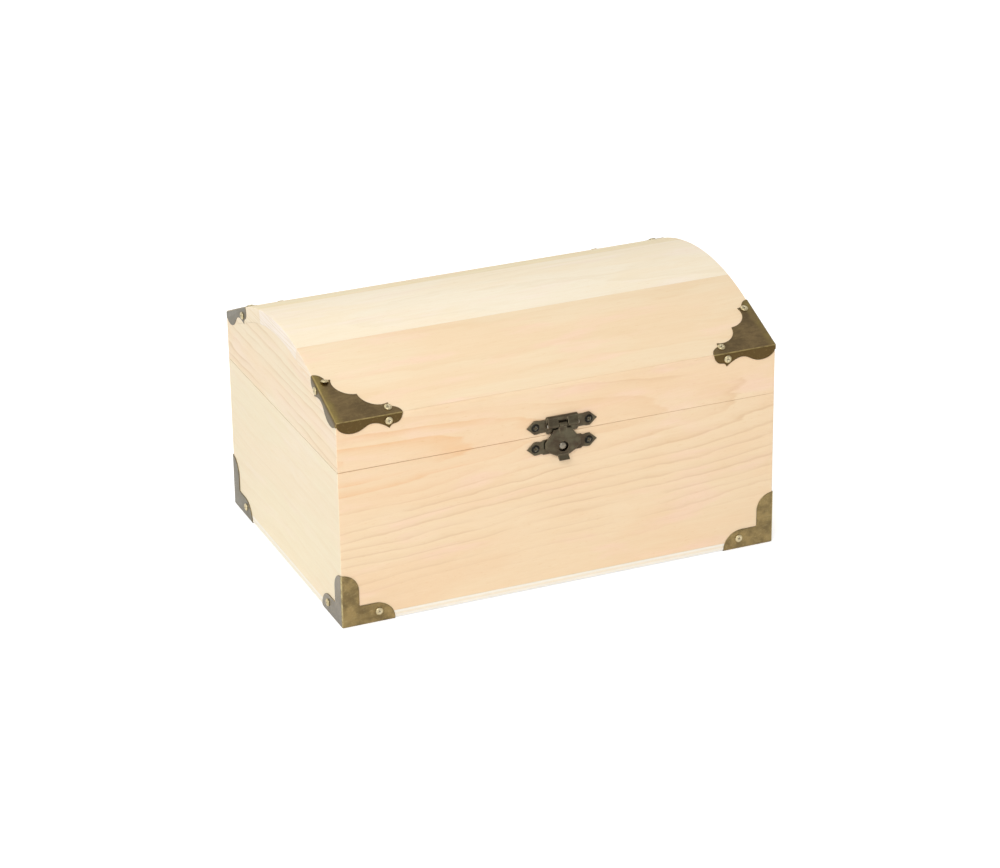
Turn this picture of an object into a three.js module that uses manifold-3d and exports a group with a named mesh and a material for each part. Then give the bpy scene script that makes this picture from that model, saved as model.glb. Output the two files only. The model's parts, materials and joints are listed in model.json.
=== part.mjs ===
// Wooden treasure chest: a mitred box with a barrel-top lid of three staves, eight stamped corner
// brackets, a hasp on the front and two butt hinges on the back.
// Millimetres, +Z up. The origin is the middle of the footprint, on the surface that the chest
// stands on, and the front faces -Y.
import * as THREE from "three";
import { mergeVertices } from "three/addons/utils/BufferGeometryUtils.js";
import { RoundedBoxGeometry } from "three/addons/geometries/RoundedBoxGeometry.js";
import Module from "manifold-3d";

// Wooden box
const boxLength = 200;
const boxWidth = 136;
const wall = 8;
const bottomSheet = 3;
const baseHeight = 70; // underside of the bottom sheet to the rim
const lidWallHeight = 22; // lid rim to the ridge
const haunch = 33; // flat slope of the roof above each ridge, where the corner brackets lie
const haunchAngle = 0.375; // radians
const stave = 6;
const jointReach = 23.3; // middle of the roof to the joint between two staves
const ridgeRound = 2;
const cornerEase = 0.4;
const seamGap = 0.3; // daylight between the closed lid and the rim
const glueLine = 0.06;

// Stamped sheet metal
const sheet = 0.6;
const sheetAir = 0.1; // between the sheet and the wood
const bendRadius = 0.7;
const bendLip = 1.2; // how far a flange turns under or over the edge it wraps

// Base corner brackets, measured from the wooden corner
const footLength = 23.4;
const footHeight = 9.1;
const footRound = 8.8;
const footTip = 0.9; // straight edge between the ground and the foot's round
const uprightWidth = 7.6;
const uprightHeight = 24.2;
const uprightRound = 7.8;
const innerCornerRound = 0.7;
const underReach = 17;
const baseScrewAlong = 16.2;
const baseScrewHeight = 5;

// Lid corner brackets: two scalloped flanges that hang from a scalloped roof plate
const flangeReach = 29.2;
const flangeDrop = 5.5;
const cornerDrop = 1.2; // depth to which the corner stays closed
const cornerSlit = 0.3;
// Screws, as shares of the reach along the edge, and of the drop or the reach away from it
const flangeScrewShares = [0.784, 0.455];
const roofScrewShares = [0.825, 0.13];
// Curves of the hanging flange's free edge: two handles and an end each, as shares of its reach and drop
const flangeCurveShares = [
  [0.027, 0.65, 0.116, 1, 0.236, 1],
  [0.336, 1, 0.397, 0.76, 0.459, 0.575],
  [0.548, 0.345, 0.657, 0.47, 0.795, 1.07],
  [0.815, 0.84, 0.842, 0.765, 0.877, 0.76],
  [0.952, 0.745, 0.996, 0.4, 1, -0.06],
];
// Curves of the roof plate's free edge from the ridge to its middle cusp, as shares of the reach both ways
const roofCurveShares = [
  [1, 0.075, 0.955, 0.115, 0.884, 0.147],
  [0.866, 0.164, 0.856, 0.192, 0.856, 0.226],
  [0.702, 0.158, 0.5, 0.295, 0.491, 0.491],
];

// Screws with domed heads and a cross recess
const shankRadius = 0.5;
const shankLength = 3.8; // below the seat
const shankPoint = 0.8;
const pilotAir = 0.15;
const headRadius = 1.7;
const headRim = 0.25;
const headHeight = 0.95;
const headSeatAir = 0.1;
const recessWidth = 0.42;
const recessLength = 1.9;
const recessDepth = 0.45;

// Hasp: a hinge plate on the lid, a pin, a hanging flap and a catch plate on the base
const plateReach = 16; // middle to the arrow point
const plateShoulder = 12.7;
const armHalfHeight = 2.75;
const shoulderHalfHeight = 3;
const blockHalfLength = 7.2;
const blockHalfHeight = 3.75;
const catchHalfLength = 7.2;
const catchHalfHeight = 3.9;
const hingePlateRise = 4.3; // seam to the middle of the hinge plate, where the pin is
const catchPlateDrop = 5.3; // seam to the middle of the catch plate
const plateScrewAlong = 12.2;
const plateScrewSize = 1.12; // its head against a bracket screw's
const loopRadius = 1.25;
const loopEnd = 6.9;
const barrelRadius = 1.1;
const barrelHalfLength = 1.9;
const haspPinRadius = 0.5;
const boreAir = 0.15;
const runningAir = 0.25;
const slitHeight = 1.8; // the slit in the hinge plate, above the pin
const lipRadius = 0.6;
const lipInset = 0.7;
const flapStandoff = 1.5; // wood to the back of the flap
const flapLength = 14.2; // pin to the start of the thumb tab
const flapHalfWidth = 7.6;
const flapSheet = 0.65;
const windowDrop = 10;
const windowRadius = 2.3;
const catchNubRadius = 1.75;
const catchNubTopShare = 0.6; // its top's radius against its foot's
const catchNubHeight = 1.25; // wood to the top of the nub
const tabHalfWidth = 2.4;
const tabLength = 1.7;
const tabKick = 1.4;
// Half outline of the flap from its tongue to its tab, as shares of its half width and its length
const flapOutlineShares = [
  [0.25, 0.11],
  [0.5, 0.115],
  [0.6, 0.16],
  [0.66, 0.26],
  [0.75, 0.35],
  [0.95, 0.45],
  [1, 0.53],
  [0.98, 0.66],
  [0.86, 0.8],
  [0.58, 0.93],
  [0.36, 1],
];

// Butt hinges on the back
const hingePlace = 55; // from the middle
const leafLength = 18;
const leafHeight = 9.5; // pin to the free edge
const leafRound = 1.5;
const knuckleRadius = 1.45;
const hingePinRadius = 0.6;
const middleKnuckle = 6.4;
const knuckleAir = 0.2;
const pinHeadRadius = 0.95;
const pinHeadHeight = 0.5;
const leafScrewAlong = 5.6;
const leafScrewHeight = 6;
const leafScrewSize = 0.85;
const leafScrewSink = 0.2; // of the head into the leaf that it is one with

// Shared helpers of the cuts
const overrun = 2;
const arcSteps = 24;
const ridgeSteps = 4;
const curveSteps = 6;
const roundSteps = 6;
const leafRoundSteps = 3;
const headSides = 12;
const headSteps = 2;
const shankSides = 6;
const boreSides = 12;
const weld = 1e-4;

// Derived places
const halfLength = boxLength / 2;
const halfWidth = boxWidth / 2;
const woodBottom = sheet + sheetAir;
const rimZ = woodBottom + baseHeight;
const seamZ = rimZ + seamGap / 2;
const lidRimZ = rimZ + seamGap;
const ridgeZ = lidRimZ + lidWallHeight;
const haunchAcross = [Math.cos(haunchAngle), Math.sin(haunchAngle)];
const archRadius = (halfWidth - haunch * haunchAcross[0]) / haunchAcross[1];
const archCentreZ = ridgeZ + haunch * haunchAcross[1] - archRadius * haunchAcross[0];
const crownZ = archCentreZ + archRadius;
const haunchNormal = Math.PI / 2 + haunchAngle; // of the front slope
const jointNormal = Math.PI / 2 + Math.asin(jointReach / archRadius);
const sheetOuter = sheetAir + sheet;

// Materials
const frontPine = new THREE.MeshStandardMaterial({ color: 0xf6dcbf, roughness: 0.7, metalness: 0 });
const paleTopPine = new THREE.MeshStandardMaterial({ color: 0xf6e4c3, roughness: 0.7, metalness: 0 });
const endPine = new THREE.MeshStandardMaterial({ color: 0xf9ead3, roughness: 0.75, metalness: 0 });
const plywood = new THREE.MeshStandardMaterial({ color: 0xf0dcc0, roughness: 0.8, metalness: 0 });
const agedBronze = new THREE.MeshStandardMaterial({ color: 0x6f6245, roughness: 0.4, metalness: 0.9 });
const darkBronze = new THREE.MeshStandardMaterial({ color: 0x4b463d, roughness: 0.45, metalness: 0.9 });
const paleBrass = new THREE.MeshStandardMaterial({ color: 0xcfc09a, roughness: 0.35, metalness: 0.9 });

const wasm = await Module();
wasm.setup();

// A closed solid for joining and cutting, from a geometry and a matrix that places it.
function solidOf(geometry, matrix = new THREE.Matrix4()) {
  const bare = geometry.clone().applyMatrix4(matrix);
  bare.deleteAttribute("normal");
  bare.deleteAttribute("uv");
  const merged = mergeVertices(bare, weld);
  return new wasm.Manifold(
    new wasm.Mesh({
      numProp: 3,
      vertProperties: merged.attributes.position.array,
      triVerts: new Uint32Array(merged.index.array),
    }),
  );
}

// A flat-shaded geometry from a joined or cut solid.
function geometryOf(solid) {
  const { vertProperties, triVerts } = solid.getMesh();
  const indexed = new THREE.BufferGeometry();
  indexed.setAttribute("position", new THREE.BufferAttribute(vertProperties, 3));
  indexed.setIndex(new THREE.BufferAttribute(triVerts, 1));
  const flat = indexed.toNonIndexed();
  flat.computeVertexNormals();
  return flat;
}

function joined(solids) {
  return solids.reduce((whole, piece) => whole.add(piece));
}

// Prism of an outline of (y, z) points between two x values.
function prismX(outline, from, to, bevel = {}) {
  return extruded(outline, to - from, [0, 1, 0], [0, 0, 1], [1, 0, 0], [from, 0, 0], bevel);
}

// Prism of an outline of (x, z) points between two y values.
function prismY(outline, from, to) {
  return extruded(outline, to - from, [1, 0, 0], [0, 0, 1], [0, -1, 0], [0, to, 0]);
}

// Prism of an outline of (x, y) points between two z values.
function prismZ(outline, from, to) {
  return extruded(outline, to - from, [1, 0, 0], [0, 1, 0], [0, 0, 1], [0, 0, from]);
}

function extruded(outline, depth, across, up, out, start, bevel = {}) {
  const shape = new THREE.Shape(outline.map(([a, b]) => new THREE.Vector2(a, b)));
  const geometry = new THREE.ExtrudeGeometry(shape, { depth, bevelEnabled: false, ...bevel });
  const axes = [across, up, out].map((axis) => new THREE.Vector3(...axis));
  const place = new THREE.Matrix4().makeBasis(...axes).setPosition(...start);
  return solidOf(geometry, place);
}

// Points of an arc from one angle to another in equal steps, both ends included.
function arcPoints(centreA, centreB, radius, from, to, steps) {
  return Array.from({ length: steps + 1 }, (_, i) => {
    const angle = from + ((to - from) * i) / steps;
    return [centreA + radius * Math.cos(angle), centreB + radius * Math.sin(angle)];
  });
}

// Points of a run of cubic curves, each given by two handles and an end.
function curvePoints(start, curves) {
  const path = new THREE.Path().moveTo(...start);
  curves.forEach((curve) => path.bezierCurveTo(...curve));
  return path.getPoints(curveSteps).map(({ x, y }) => [x, y]);
}

// A round bar between two x values, about the line through (y, z).
function barX(radius, from, to, y, z, sides = boreSides) {
  const geometry = new THREE.CylinderGeometry(radius, radius, to - from, sides).rotateZ(-Math.PI / 2);
  return solidOf(geometry, new THREE.Matrix4().makeTranslation((from + to) / 2, y, z));
}

function boxSolid(from, to) {
  const size = to.map((value, i) => value - from[i]);
  const middle = to.map((value, i) => (value + from[i]) / 2);
  return solidOf(new THREE.BoxGeometry(...size), new THREE.Matrix4().makeTranslation(...middle));
}

// Wood: the plans of the mitred boards, seen from above
function longBoardPlan(side) {
  return [
    [-halfLength + cornerEase, -halfWidth],
    [halfLength - cornerEase, -halfWidth],
    [halfLength - cornerEase / 2, -halfWidth + cornerEase / 2],
    [halfLength - wall, -halfWidth + wall],
    [-halfLength + wall, -halfWidth + wall],
    [-halfLength + cornerEase / 2, -halfWidth + cornerEase / 2],
  ].map(([x, y]) => [x, -side * y]);
}

function endBoardPlan(side) {
  const mitreAir = glueLine * Math.SQRT2;
  const half = [
    [-halfLength, -halfWidth + cornerEase + mitreAir],
    [-halfLength + cornerEase / 2, -halfWidth + cornerEase / 2 + mitreAir],
    [-halfLength + wall, -halfWidth + wall + mitreAir],
  ];
  const other = half.map(([x, y]) => [x, -y]).reverse();
  return [...half, ...other].map(([x, y]) => [-side * x, y]);
}

// Centre of the rounding between the front face and the front slope.
function ridgeCentre(round) {
  return [
    -halfWidth + round,
    ridgeZ - (round * (1 - Math.sin(haunchAngle))) / Math.cos(haunchAngle),
  ];
}

// Outline of the lid's end view, grown by an offset: walls, ridge roundings, slopes and a round crown.
function lidOutline(offset, round) {
  const front = arcPoints(...ridgeCentre(round), round + offset, Math.PI, haunchNormal, ridgeSteps);
  const arch = arcPoints(
    0, archCentreZ, archRadius + offset, haunchNormal, Math.PI - haunchNormal, arcSteps,
  );
  const back = front.map(([y, z]) => [-y, z]).reverse();
  const foot = halfWidth + offset;
  return [[-foot, lidRimZ], ...front, ...arch, ...back, [foot, lidRimZ]];
}

// Angle on the ridge rounding at the ridge's own level, where the rail ends and the stave begins.
const ridgeSplit = Math.PI - Math.asin((ridgeZ - ridgeCentre(ridgeRound)[1]) / ridgeRound);

function railOutline() {
  const rounding = arcPoints(
    ...ridgeCentre(ridgeRound), ridgeRound, Math.PI, ridgeSplit, ridgeSteps / 2,
  );
  return [
    [-halfWidth + wall, ridgeZ],
    [-halfWidth + wall, lidRimZ],
    [-halfWidth, lidRimZ],
    ...rounding,
  ];
}

// Foot of the slope's inner face, where it meets the level of the ridge.
function innerFoot(thickness) {
  return [-halfWidth + thickness / haunchAcross[1], ridgeZ];
}

// The front stave stands on the rail's flat top and ends on a radial joint.
function frontStaveOutline() {
  const rounding = arcPoints(
    ...ridgeCentre(ridgeRound), ridgeRound, ridgeSplit, haunchNormal, ridgeSteps / 2,
  );
  rounding[0][1] += glueLine;
  const steps = arcSteps / 4;
  const outer = arcPoints(0, archCentreZ, archRadius, haunchNormal, jointNormal, steps);
  const inner = arcPoints(0, archCentreZ, archRadius - stave, jointNormal, haunchNormal, steps);
  const [footY, footZ] = innerFoot(stave);
  return [...rounding, ...outer, ...inner, [footY, footZ + glueLine]];
}

function centreStaveOutline() {
  const from = jointNormal - glueLine / archRadius;
  const steps = arcSteps / 2;
  return [
    ...arcPoints(0, archCentreZ, archRadius, from, Math.PI - from, steps),
    ...arcPoints(0, archCentreZ, archRadius - stave, Math.PI - from, from, steps),
  ];
}

// Arched end of the lid: it fills the walls' height and carries the staves on its arch and shoulders.
function lidEndOutline() {
  const depth = stave + glueLine;
  const arc = arcPoints(
    0, archCentreZ, archRadius - depth, haunchNormal, Math.PI - haunchNormal, arcSteps,
  );
  const shoulder = [innerFoot(depth)];
  const half = [[-halfWidth, lidRimZ], [-halfWidth, ridgeZ], ...shoulder];
  return [...half, ...arc, ...half.map(([y, z]) => [-y, z]).reverse()];
}

// Point on the front slope at a distance above the ridge, sunk by a depth.
function onSlope(along, depth = 0) {
  const [across, up] = haunchAcross;
  return [
    -halfWidth + along * across + depth * up,
    ridgeZ + along * up - depth * across,
  ];
}

// Brackets: the front left one of each kind; the others are its mirror images
function quarterRound(centreA, centreB, radiusA, radiusB, steps = roundSteps) {
  return arcPoints(0, 0, 1, 0, Math.PI / 2, steps).map(([a, b]) => [
    centreA + radiusA * a,
    centreB + radiusB * b,
  ]);
}

// L-shaped flange of a base bracket: distance along from the wooden corner, height above the ground.
function baseFlangeOutline() {
  const corner = arcPoints(
    uprightWidth + innerCornerRound, footHeight + innerCornerRound, innerCornerRound,
    (3 * Math.PI) / 2, Math.PI, ridgeSteps / 2,
  );
  return [
    [-overrun, -overrun],
    [footLength, -overrun],
    ...quarterRound(footLength - footRound, footTip, footRound, footHeight - footTip),
    ...corner,
    ...quarterRound(
      uprightWidth - uprightRound, uprightHeight - uprightRound, uprightRound, uprightRound,
    ),
    [-overrun, uprightHeight],
  ];
}

function baseBracket() {
  const tall = uprightHeight * 2;
  const outer = solidOf(
    new RoundedBoxGeometry(
      boxLength + 2 * sheetOuter, boxWidth + 2 * sheetOuter, tall, ridgeSteps / 2, bendRadius,
    ),
    new THREE.Matrix4().makeTranslation(0, 0, tall / 2),
  );
  const inner = boxSolid(
    [-halfLength - sheetAir, -halfWidth - sheetAir, sheet],
    [halfLength + sheetAir, halfWidth + sheetAir, tall + overrun],
  );
  const flange = baseFlangeOutline();
  const front = prismY(
    flange.map(([along, up]) => [-halfLength + along, up]),
    -halfWidth - sheetOuter - overrun, -halfWidth + bendLip,
  );
  const end = prismX(
    flange.map(([along, up]) => [-halfWidth + along, up]),
    -halfLength - sheetOuter - overrun, -halfLength + bendLip,
  );
  const plan = [
    [-overrun, -overrun],
    ...quarterRound(0, 0, underReach, underReach),
  ].map(([x, y]) => [x - halfLength, y - halfWidth]);
  plan.splice(1, 0, [underReach - halfLength, -halfWidth - overrun]);
  plan.push([-halfLength - overrun, underReach - halfWidth]);
  const under = prismZ(plan, -overrun, sheet + sheetAir / 2);
  return outer.subtract(inner).intersect(joined([front, end, under]));
}

// Free edge of a hanging flange, as distance along the edge from the corner and depth below it.
function hangingFlangeOutline() {
  const curves = flangeCurveShares.map((shares) =>
    shares.map((share, i) => share * (i % 2 ? flangeDrop : flangeReach)),
  );
  return [
    [-overrun, -overrun],
    [-overrun, cornerDrop],
    ...curvePoints([cornerSlit, cornerDrop], curves),
    [flangeReach, -overrun],
  ];
}

// Plan of the roof plate, as distances along the ridge and along the arch from the corner.
function roofPlateOutline() {
  const curves = roofCurveShares.map((shares) => shares.map((share) => share * flangeReach));
  const half = curvePoints([flangeReach, 0], curves);
  const mirrored = half.map(([a, b]) => [b, a]).reverse();
  return [
    [-overrun, -overrun],
    [flangeReach, -overrun],
    ...half,
    ...mirrored.slice(1),
    [-overrun, flangeReach],
  ];
}

function lidBracket() {
  const reach = halfLength + sheetOuter;
  const inside = bendRadius - sheet;
  const bend = {
    bevelEnabled: true,
    bevelThickness: bendRadius,
    bevelSize: bendRadius,
    bevelOffset: -bendRadius,
    bevelSegments: ridgeSteps / 2,
  };
  const outer = prismX(
    lidOutline(sheetOuter, inside), -reach + bendRadius, reach - bendRadius, bend,
  );
  const inner = prismX(lidOutline(sheetAir, inside), -halfLength - sheetAir, halfLength + sheetAir);
  const flange = hangingFlangeOutline();
  const front = prismY(
    flange.map(([along, down]) => [-halfLength + along, ridgeZ - down]),
    -halfWidth - sheetOuter - overrun, -halfWidth + bendLip,
  );
  const end = prismX(
    flange.map(([along, down]) => onSlope(along, down)),
    -halfLength - sheetOuter - overrun, -halfLength + bendLip,
  );
  const plate = roofPlateOutline().map(([x, along]) => [-halfLength + x, along]);
  const roof = extruded(
    plate, bendLip + sheetOuter + overrun,
    [1, 0, 0], [0, ...haunchAcross], [0, -haunchAcross[1], haunchAcross[0]],
    [0, ...onSlope(0, bendLip)],
  );
  return outer.subtract(inner).intersect(joined([front, end, roof]));
}

// Screws: seat point, outward direction, size and owner
function mirroredPlace({ seat, out }, sideX, sideY) {
  return {
    seat: new THREE.Vector3(seat.x * sideX, seat.y * sideY, seat.z),
    out: new THREE.Vector3(out.x * sideX, out.y * sideY, out.z),
  };
}

const baseScrewPlaces = {
  face: {
    seat: new THREE.Vector3(-halfLength + baseScrewAlong, -halfWidth - sheetOuter, baseScrewHeight),
    out: new THREE.Vector3(0, -1, 0),
  },
  end: {
    seat: new THREE.Vector3(-halfLength - sheetOuter, -halfWidth + baseScrewAlong, baseScrewHeight),
    out: new THREE.Vector3(-1, 0, 0),
  },
};

// A screw in the roof plate stands square to the slope.
function roofScrewPlace(fromEnd, along) {
  return {
    seat: new THREE.Vector3(-halfLength + fromEnd, ...onSlope(along, -sheetOuter)),
    out: new THREE.Vector3(0, -haunchAcross[1], haunchAcross[0]),
  };
}

const flangeScrewAlong = flangeScrewShares[0] * flangeReach;
const flangeScrewDrop = flangeScrewShares[1] * flangeDrop;
const [roofScrewAlong, roofScrewAcross] = roofScrewShares.map((share) => share * flangeReach);

const lidScrewPlaces = {
  face: {
    seat: new THREE.Vector3(
      -halfLength + flangeScrewAlong, -halfWidth - sheetOuter, ridgeZ - flangeScrewDrop,
    ),
    out: new THREE.Vector3(0, -1, 0),
  },
  end: {
    seat: new THREE.Vector3(-halfLength - sheetOuter, ...onSlope(flangeScrewAlong, flangeScrewDrop)),
    out: new THREE.Vector3(-1, 0, 0),
  },
  roof_low: roofScrewPlace(roofScrewAlong, roofScrewAcross),
  roof_high: roofScrewPlace(roofScrewAcross, roofScrewAlong),
};

function placeMatrix({ seat, out }) {
  const turn = new THREE.Quaternion().setFromUnitVectors(new THREE.Vector3(0, 0, 1), out);
  return new THREE.Matrix4().compose(seat, turn, new THREE.Vector3(1, 1, 1));
}

// Upright screw with its seat at the origin and its head above it.
function screwSolid(size = 1) {
  const dome = arcPoints(0, 0, 1, 0, Math.PI / 2, headSteps).map(([r, z]) => [
    headRadius * size * r,
    headRim + (headHeight - headRim) * z,
  ]);
  dome[dome.length - 1][0] = 0;
  const profile = [
    [0, -shankLength],
    [shankRadius, -shankLength + shankPoint],
    [shankRadius, headSeatAir],
    [headRadius * size, headSeatAir],
    ...dome,
  ].map(([r, z]) => new THREE.Vector2(r, z));
  const body = solidOf(new THREE.LatheGeometry(profile, headSides).rotateX(Math.PI / 2));
  const [long, thin] = [recessLength / 2, recessWidth / 2];
  const [floor, top] = [headHeight - recessDepth, headHeight + overrun];
  const recess = joined([
    boxSolid([-long, -thin, floor], [long, thin, top]),
    boxSolid([-thin, -long, floor], [thin, long, top]),
  ]);
  return body.subtract(recess);
}

// Round hole for a screw's shank, through the sheet and into the wood behind it.
function pilotSolid(place) {
  const radius = shankRadius + pilotAir;
  const length = shankLength + pilotAir + overrun;
  const geometry = new THREE.CylinderGeometry(radius, radius, length, shankSides)
    .rotateX(Math.PI / 2)
    .translate(0, 0, overrun - length / 2);
  return solidOf(geometry, placeMatrix(place));
}

// Hasp
const upperPlateZ = seamZ + hingePlateRise;
const lowerPlateZ = seamZ - catchPlateDrop;
const haspAxisY = -halfWidth - sheetAir - loopRadius;
const plateBackY = -halfWidth - sheetAir;
const plateFrontY = -halfWidth - sheetOuter;

// Bar with arrow points and a taller middle block, about the height of its screws.
function arrowPlateOutline(blockLength, blockHeight, z) {
  const quarter = [
    [plateReach, 0],
    [plateReach - (plateReach - plateShoulder) / 4, armHalfHeight / 4],
    [plateShoulder, shoulderHalfHeight],
    [plateShoulder - armHalfHeight / 2, shoulderHalfHeight],
    [plateShoulder - armHalfHeight, armHalfHeight],
    [blockLength, armHalfHeight],
    [blockLength - (blockHeight - armHalfHeight) / 2, blockHeight],
  ];
  const top = [...quarter, ...quarter.map(([x, up]) => [-x, up]).reverse()];
  const bottom = top.slice(1, -1).map(([x, up]) => [x, -up]).reverse();
  return [...top, ...bottom].map(([x, up]) => [x, z + up]);
}

function hingePlate(holes) {
  const plate = prismY(
    arrowPlateOutline(blockHalfLength, blockHalfHeight, upperPlateZ), plateFrontY, plateBackY,
  );
  const tongue = barrelHalfLength + runningAir;
  const slit = boxSolid(
    [-tongue, plateFrontY - overrun, upperPlateZ - loopRadius - runningAir],
    [tongue, plateBackY + overrun, upperPlateZ + slitHeight],
  );
  const loops = [
    barX(loopRadius, -loopEnd, -tongue, haspAxisY, upperPlateZ),
    barX(loopRadius, tongue, loopEnd, haspAxisY, upperPlateZ),
  ];
  const lipZ = upperPlateZ + blockHalfHeight - lipRadius;
  const lipReach = blockHalfLength - lipInset;
  const lip = barX(lipRadius, -lipReach, lipReach, plateFrontY, lipZ);
  const bore = barX(haspPinRadius + boreAir, -loopEnd, -tongue + overrun, haspAxisY, upperPlateZ);
  const otherBore = barX(haspPinRadius + boreAir, tongue - overrun, loopEnd, haspAxisY, upperPlateZ);
  return joined([plate.subtract(slit), ...loops, lip])
    .subtract(joined([bore, otherBore, ...holes]));
}

function haspPin() {
  const reach = loopEnd - boreAir;
  return barX(haspPinRadius, -reach, reach, haspAxisY, upperPlateZ);
}

// Shield-shaped sheet with a barrel round the pin, a round window and a bent thumb tab.
function latchFlap() {
  const back = -halfWidth - flapStandoff;
  const half = [
    [barrelHalfLength, 0],
    [barrelHalfLength, loopRadius + runningAir],
    ...flapOutlineShares.slice(1).map(([across, down]) => [across * flapHalfWidth, down * flapLength]),
  ];
  const outline = [...half, ...half.map(([x, down]) => [-x, down]).reverse()];
  const body = prismY(
    outline.map(([x, down]) => [x, upperPlateZ - down]), back - flapSheet, back,
  );
  const barrel = barX(barrelRadius, -barrelHalfLength, barrelHalfLength, haspAxisY, upperPlateZ);
  const bore = barX(
    haspPinRadius + boreAir, -barrelHalfLength - overrun, barrelHalfLength + overrun,
    haspAxisY, upperPlateZ,
  );
  const window = solidOf(
    new THREE.CylinderGeometry(windowRadius, windowRadius, flapSheet + 2 * overrun, boreSides),
    new THREE.Matrix4().makeTranslation(0, back - flapSheet / 2, upperPlateZ - windowDrop),
  );
  const foot = upperPlateZ - flapLength;
  const front = back - flapSheet;
  const tab = prismX(
    [
      [back, foot + flapSheet],
      [front, foot + flapSheet],
      [front, foot],
      [front - tabKick, foot - tabLength + flapSheet / 2],
      [front - tabKick + flapSheet / 2, foot - tabLength],
      [back, foot - flapSheet / 2],
    ],
    -tabHalfWidth, tabHalfWidth,
  );
  return joined([body, barrel, tab]).subtract(joined([bore, window]));
}

function catchPlate(holes) {
  const plate = prismY(
    arrowPlateOutline(catchHalfLength, catchHalfHeight, lowerPlateZ), plateFrontY, plateBackY,
  );
  const rise = catchNubHeight - sheetOuter;
  const nubZ = upperPlateZ - windowDrop;
  const nub = solidOf(
    new THREE.CylinderGeometry(
      catchNubRadius, catchNubRadius * catchNubTopShare, rise + sheet / 2, boreSides / 2,
    ),
    new THREE.Matrix4().makeTranslation(0, plateFrontY + sheet / 4 - rise / 2, nubZ),
  );
  return plate.add(nub).subtract(joined(holes));
}

function plateScrewPlace(side, z) {
  return {
    seat: new THREE.Vector3(side * plateScrewAlong, plateFrontY, z),
    out: new THREE.Vector3(0, -1, 0),
  };
}

// Butt hinges
const hingeAxisY = halfWidth + sheetAir + knuckleRadius;

// A leaf against the back, above (1) or below (-1) the pin, with one middle or two outer knuckles.
function hingeLeaf(x, up) {
  const half = leafLength / 2;
  const clear = knuckleRadius + knuckleAir;
  const round = quarterRound(
    half - leafRound, leafHeight - leafRound, leafRound, leafRound, leafRoundSteps,
  );
  const otherRound = round.map(([a, b]) => [-a, b]).reverse();
  const outline = [[-half, clear], [half, clear], ...round, ...otherRound]
    .map(([a, b]) => [x + a, seamZ + up * b]);
  const plateY = halfWidth + sheetAir;
  const spans = up > 0
    ? [[-middleKnuckle / 2, middleKnuckle / 2]]
    : [[-half, -middleKnuckle / 2 - knuckleAir], [middleKnuckle / 2 + knuckleAir, half]];
  const knuckles = spans.flatMap(([from, to]) => {
    const root = [seamZ, seamZ + up * (clear + sheet)];
    return [
      barX(knuckleRadius, x + from, x + to, hingeAxisY, seamZ),
      boxSolid(
        [x + from, plateY, Math.min(...root)],
        [x + to, plateY + sheet, Math.max(...root)],
      ),
    ];
  });
  const bore = barX(
    hingePinRadius + boreAir, x - half - overrun, x + half + overrun, hingeAxisY, seamZ,
  );
  return joined([prismY(outline, plateY, plateY + sheet), ...knuckles])
    .subtract(bore)
    .add(joined(leafScrewPlaces(x, up).map((place) => fusedScrew(place))));
}

function leafScrewPlaces(x, up) {
  return [-1, 1].map((side) => ({
    seat: new THREE.Vector3(
      x + side * leafScrewAlong, halfWidth + sheetOuter - leafScrewSink, seamZ + up * leafScrewHeight,
    ),
    out: new THREE.Vector3(0, 1, 0),
  }));
}

// A leaf's screw is one with the leaf: its head sinks slightly into the sheet.
function fusedScrew(place) {
  const solid = screwSolid(leafScrewSize);
  return solidOf(geometryOf(solid), placeMatrix(place));
}

function hingePin(x) {
  const half = leafLength / 2;
  const heads = [-1, 1].map((side) => {
    const from = x + side * (half + knuckleAir);
    const to = from + side * pinHeadHeight;
    return barX(pinHeadRadius, Math.min(from, to), Math.max(from, to), hingeAxisY, seamZ, headSides);
  });
  const reach = half + knuckleAir + pinHeadHeight / 2;
  return joined([barX(hingePinRadius, x - reach, x + reach, hingeAxisY, seamZ), ...heads]);
}

// Assembly: one group for each part of the chest that moves as one
const chest = new THREE.Group();
const base = new THREE.Group();
const lid = new THREE.Group();
const flap = new THREE.Group();
chest.add(base, lid);
lid.add(flap);

function addPiece(group, name, geometry, material) {
  const mesh = new THREE.Mesh(geometry, material);
  mesh.name = name;
  group.add(mesh);
  return mesh;
}

const corners = [
  ["front_left", 1, 1],
  ["front_right", -1, 1],
  ["back_left", 1, -1],
  ["back_right", -1, -1],
];
const hinges = [["left", -hingePlace], ["right", hingePlace]];

// Every screw hole that the wood of the base and of the lid needs.
function cornerHoles(places) {
  return corners.flatMap(([, sideX, sideY]) =>
    Object.values(places).map((place) => pilotSolid(mirroredPlace(place, sideX, sideY))),
  );
}
const upperHoles = [-1, 1].map((side) => pilotSolid(plateScrewPlace(side, upperPlateZ)));
const lowerHoles = [-1, 1].map((side) => pilotSolid(plateScrewPlace(side, lowerPlateZ)));
function leafHoles(up) {
  return hinges.flatMap(([, x]) => leafScrewPlaces(x, up).map(pilotSolid));
}
const baseHoles = joined([...cornerHoles(baseScrewPlaces), ...lowerHoles, ...leafHoles(-1)]);
const lidHoles = joined([...cornerHoles(lidScrewPlaces), ...upperHoles, ...leafHoles(1)]);

function addBoard(group, name, solid, holes, material) {
  addPiece(group, name, geometryOf(solid.subtract(holes)), material);
}

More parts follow.
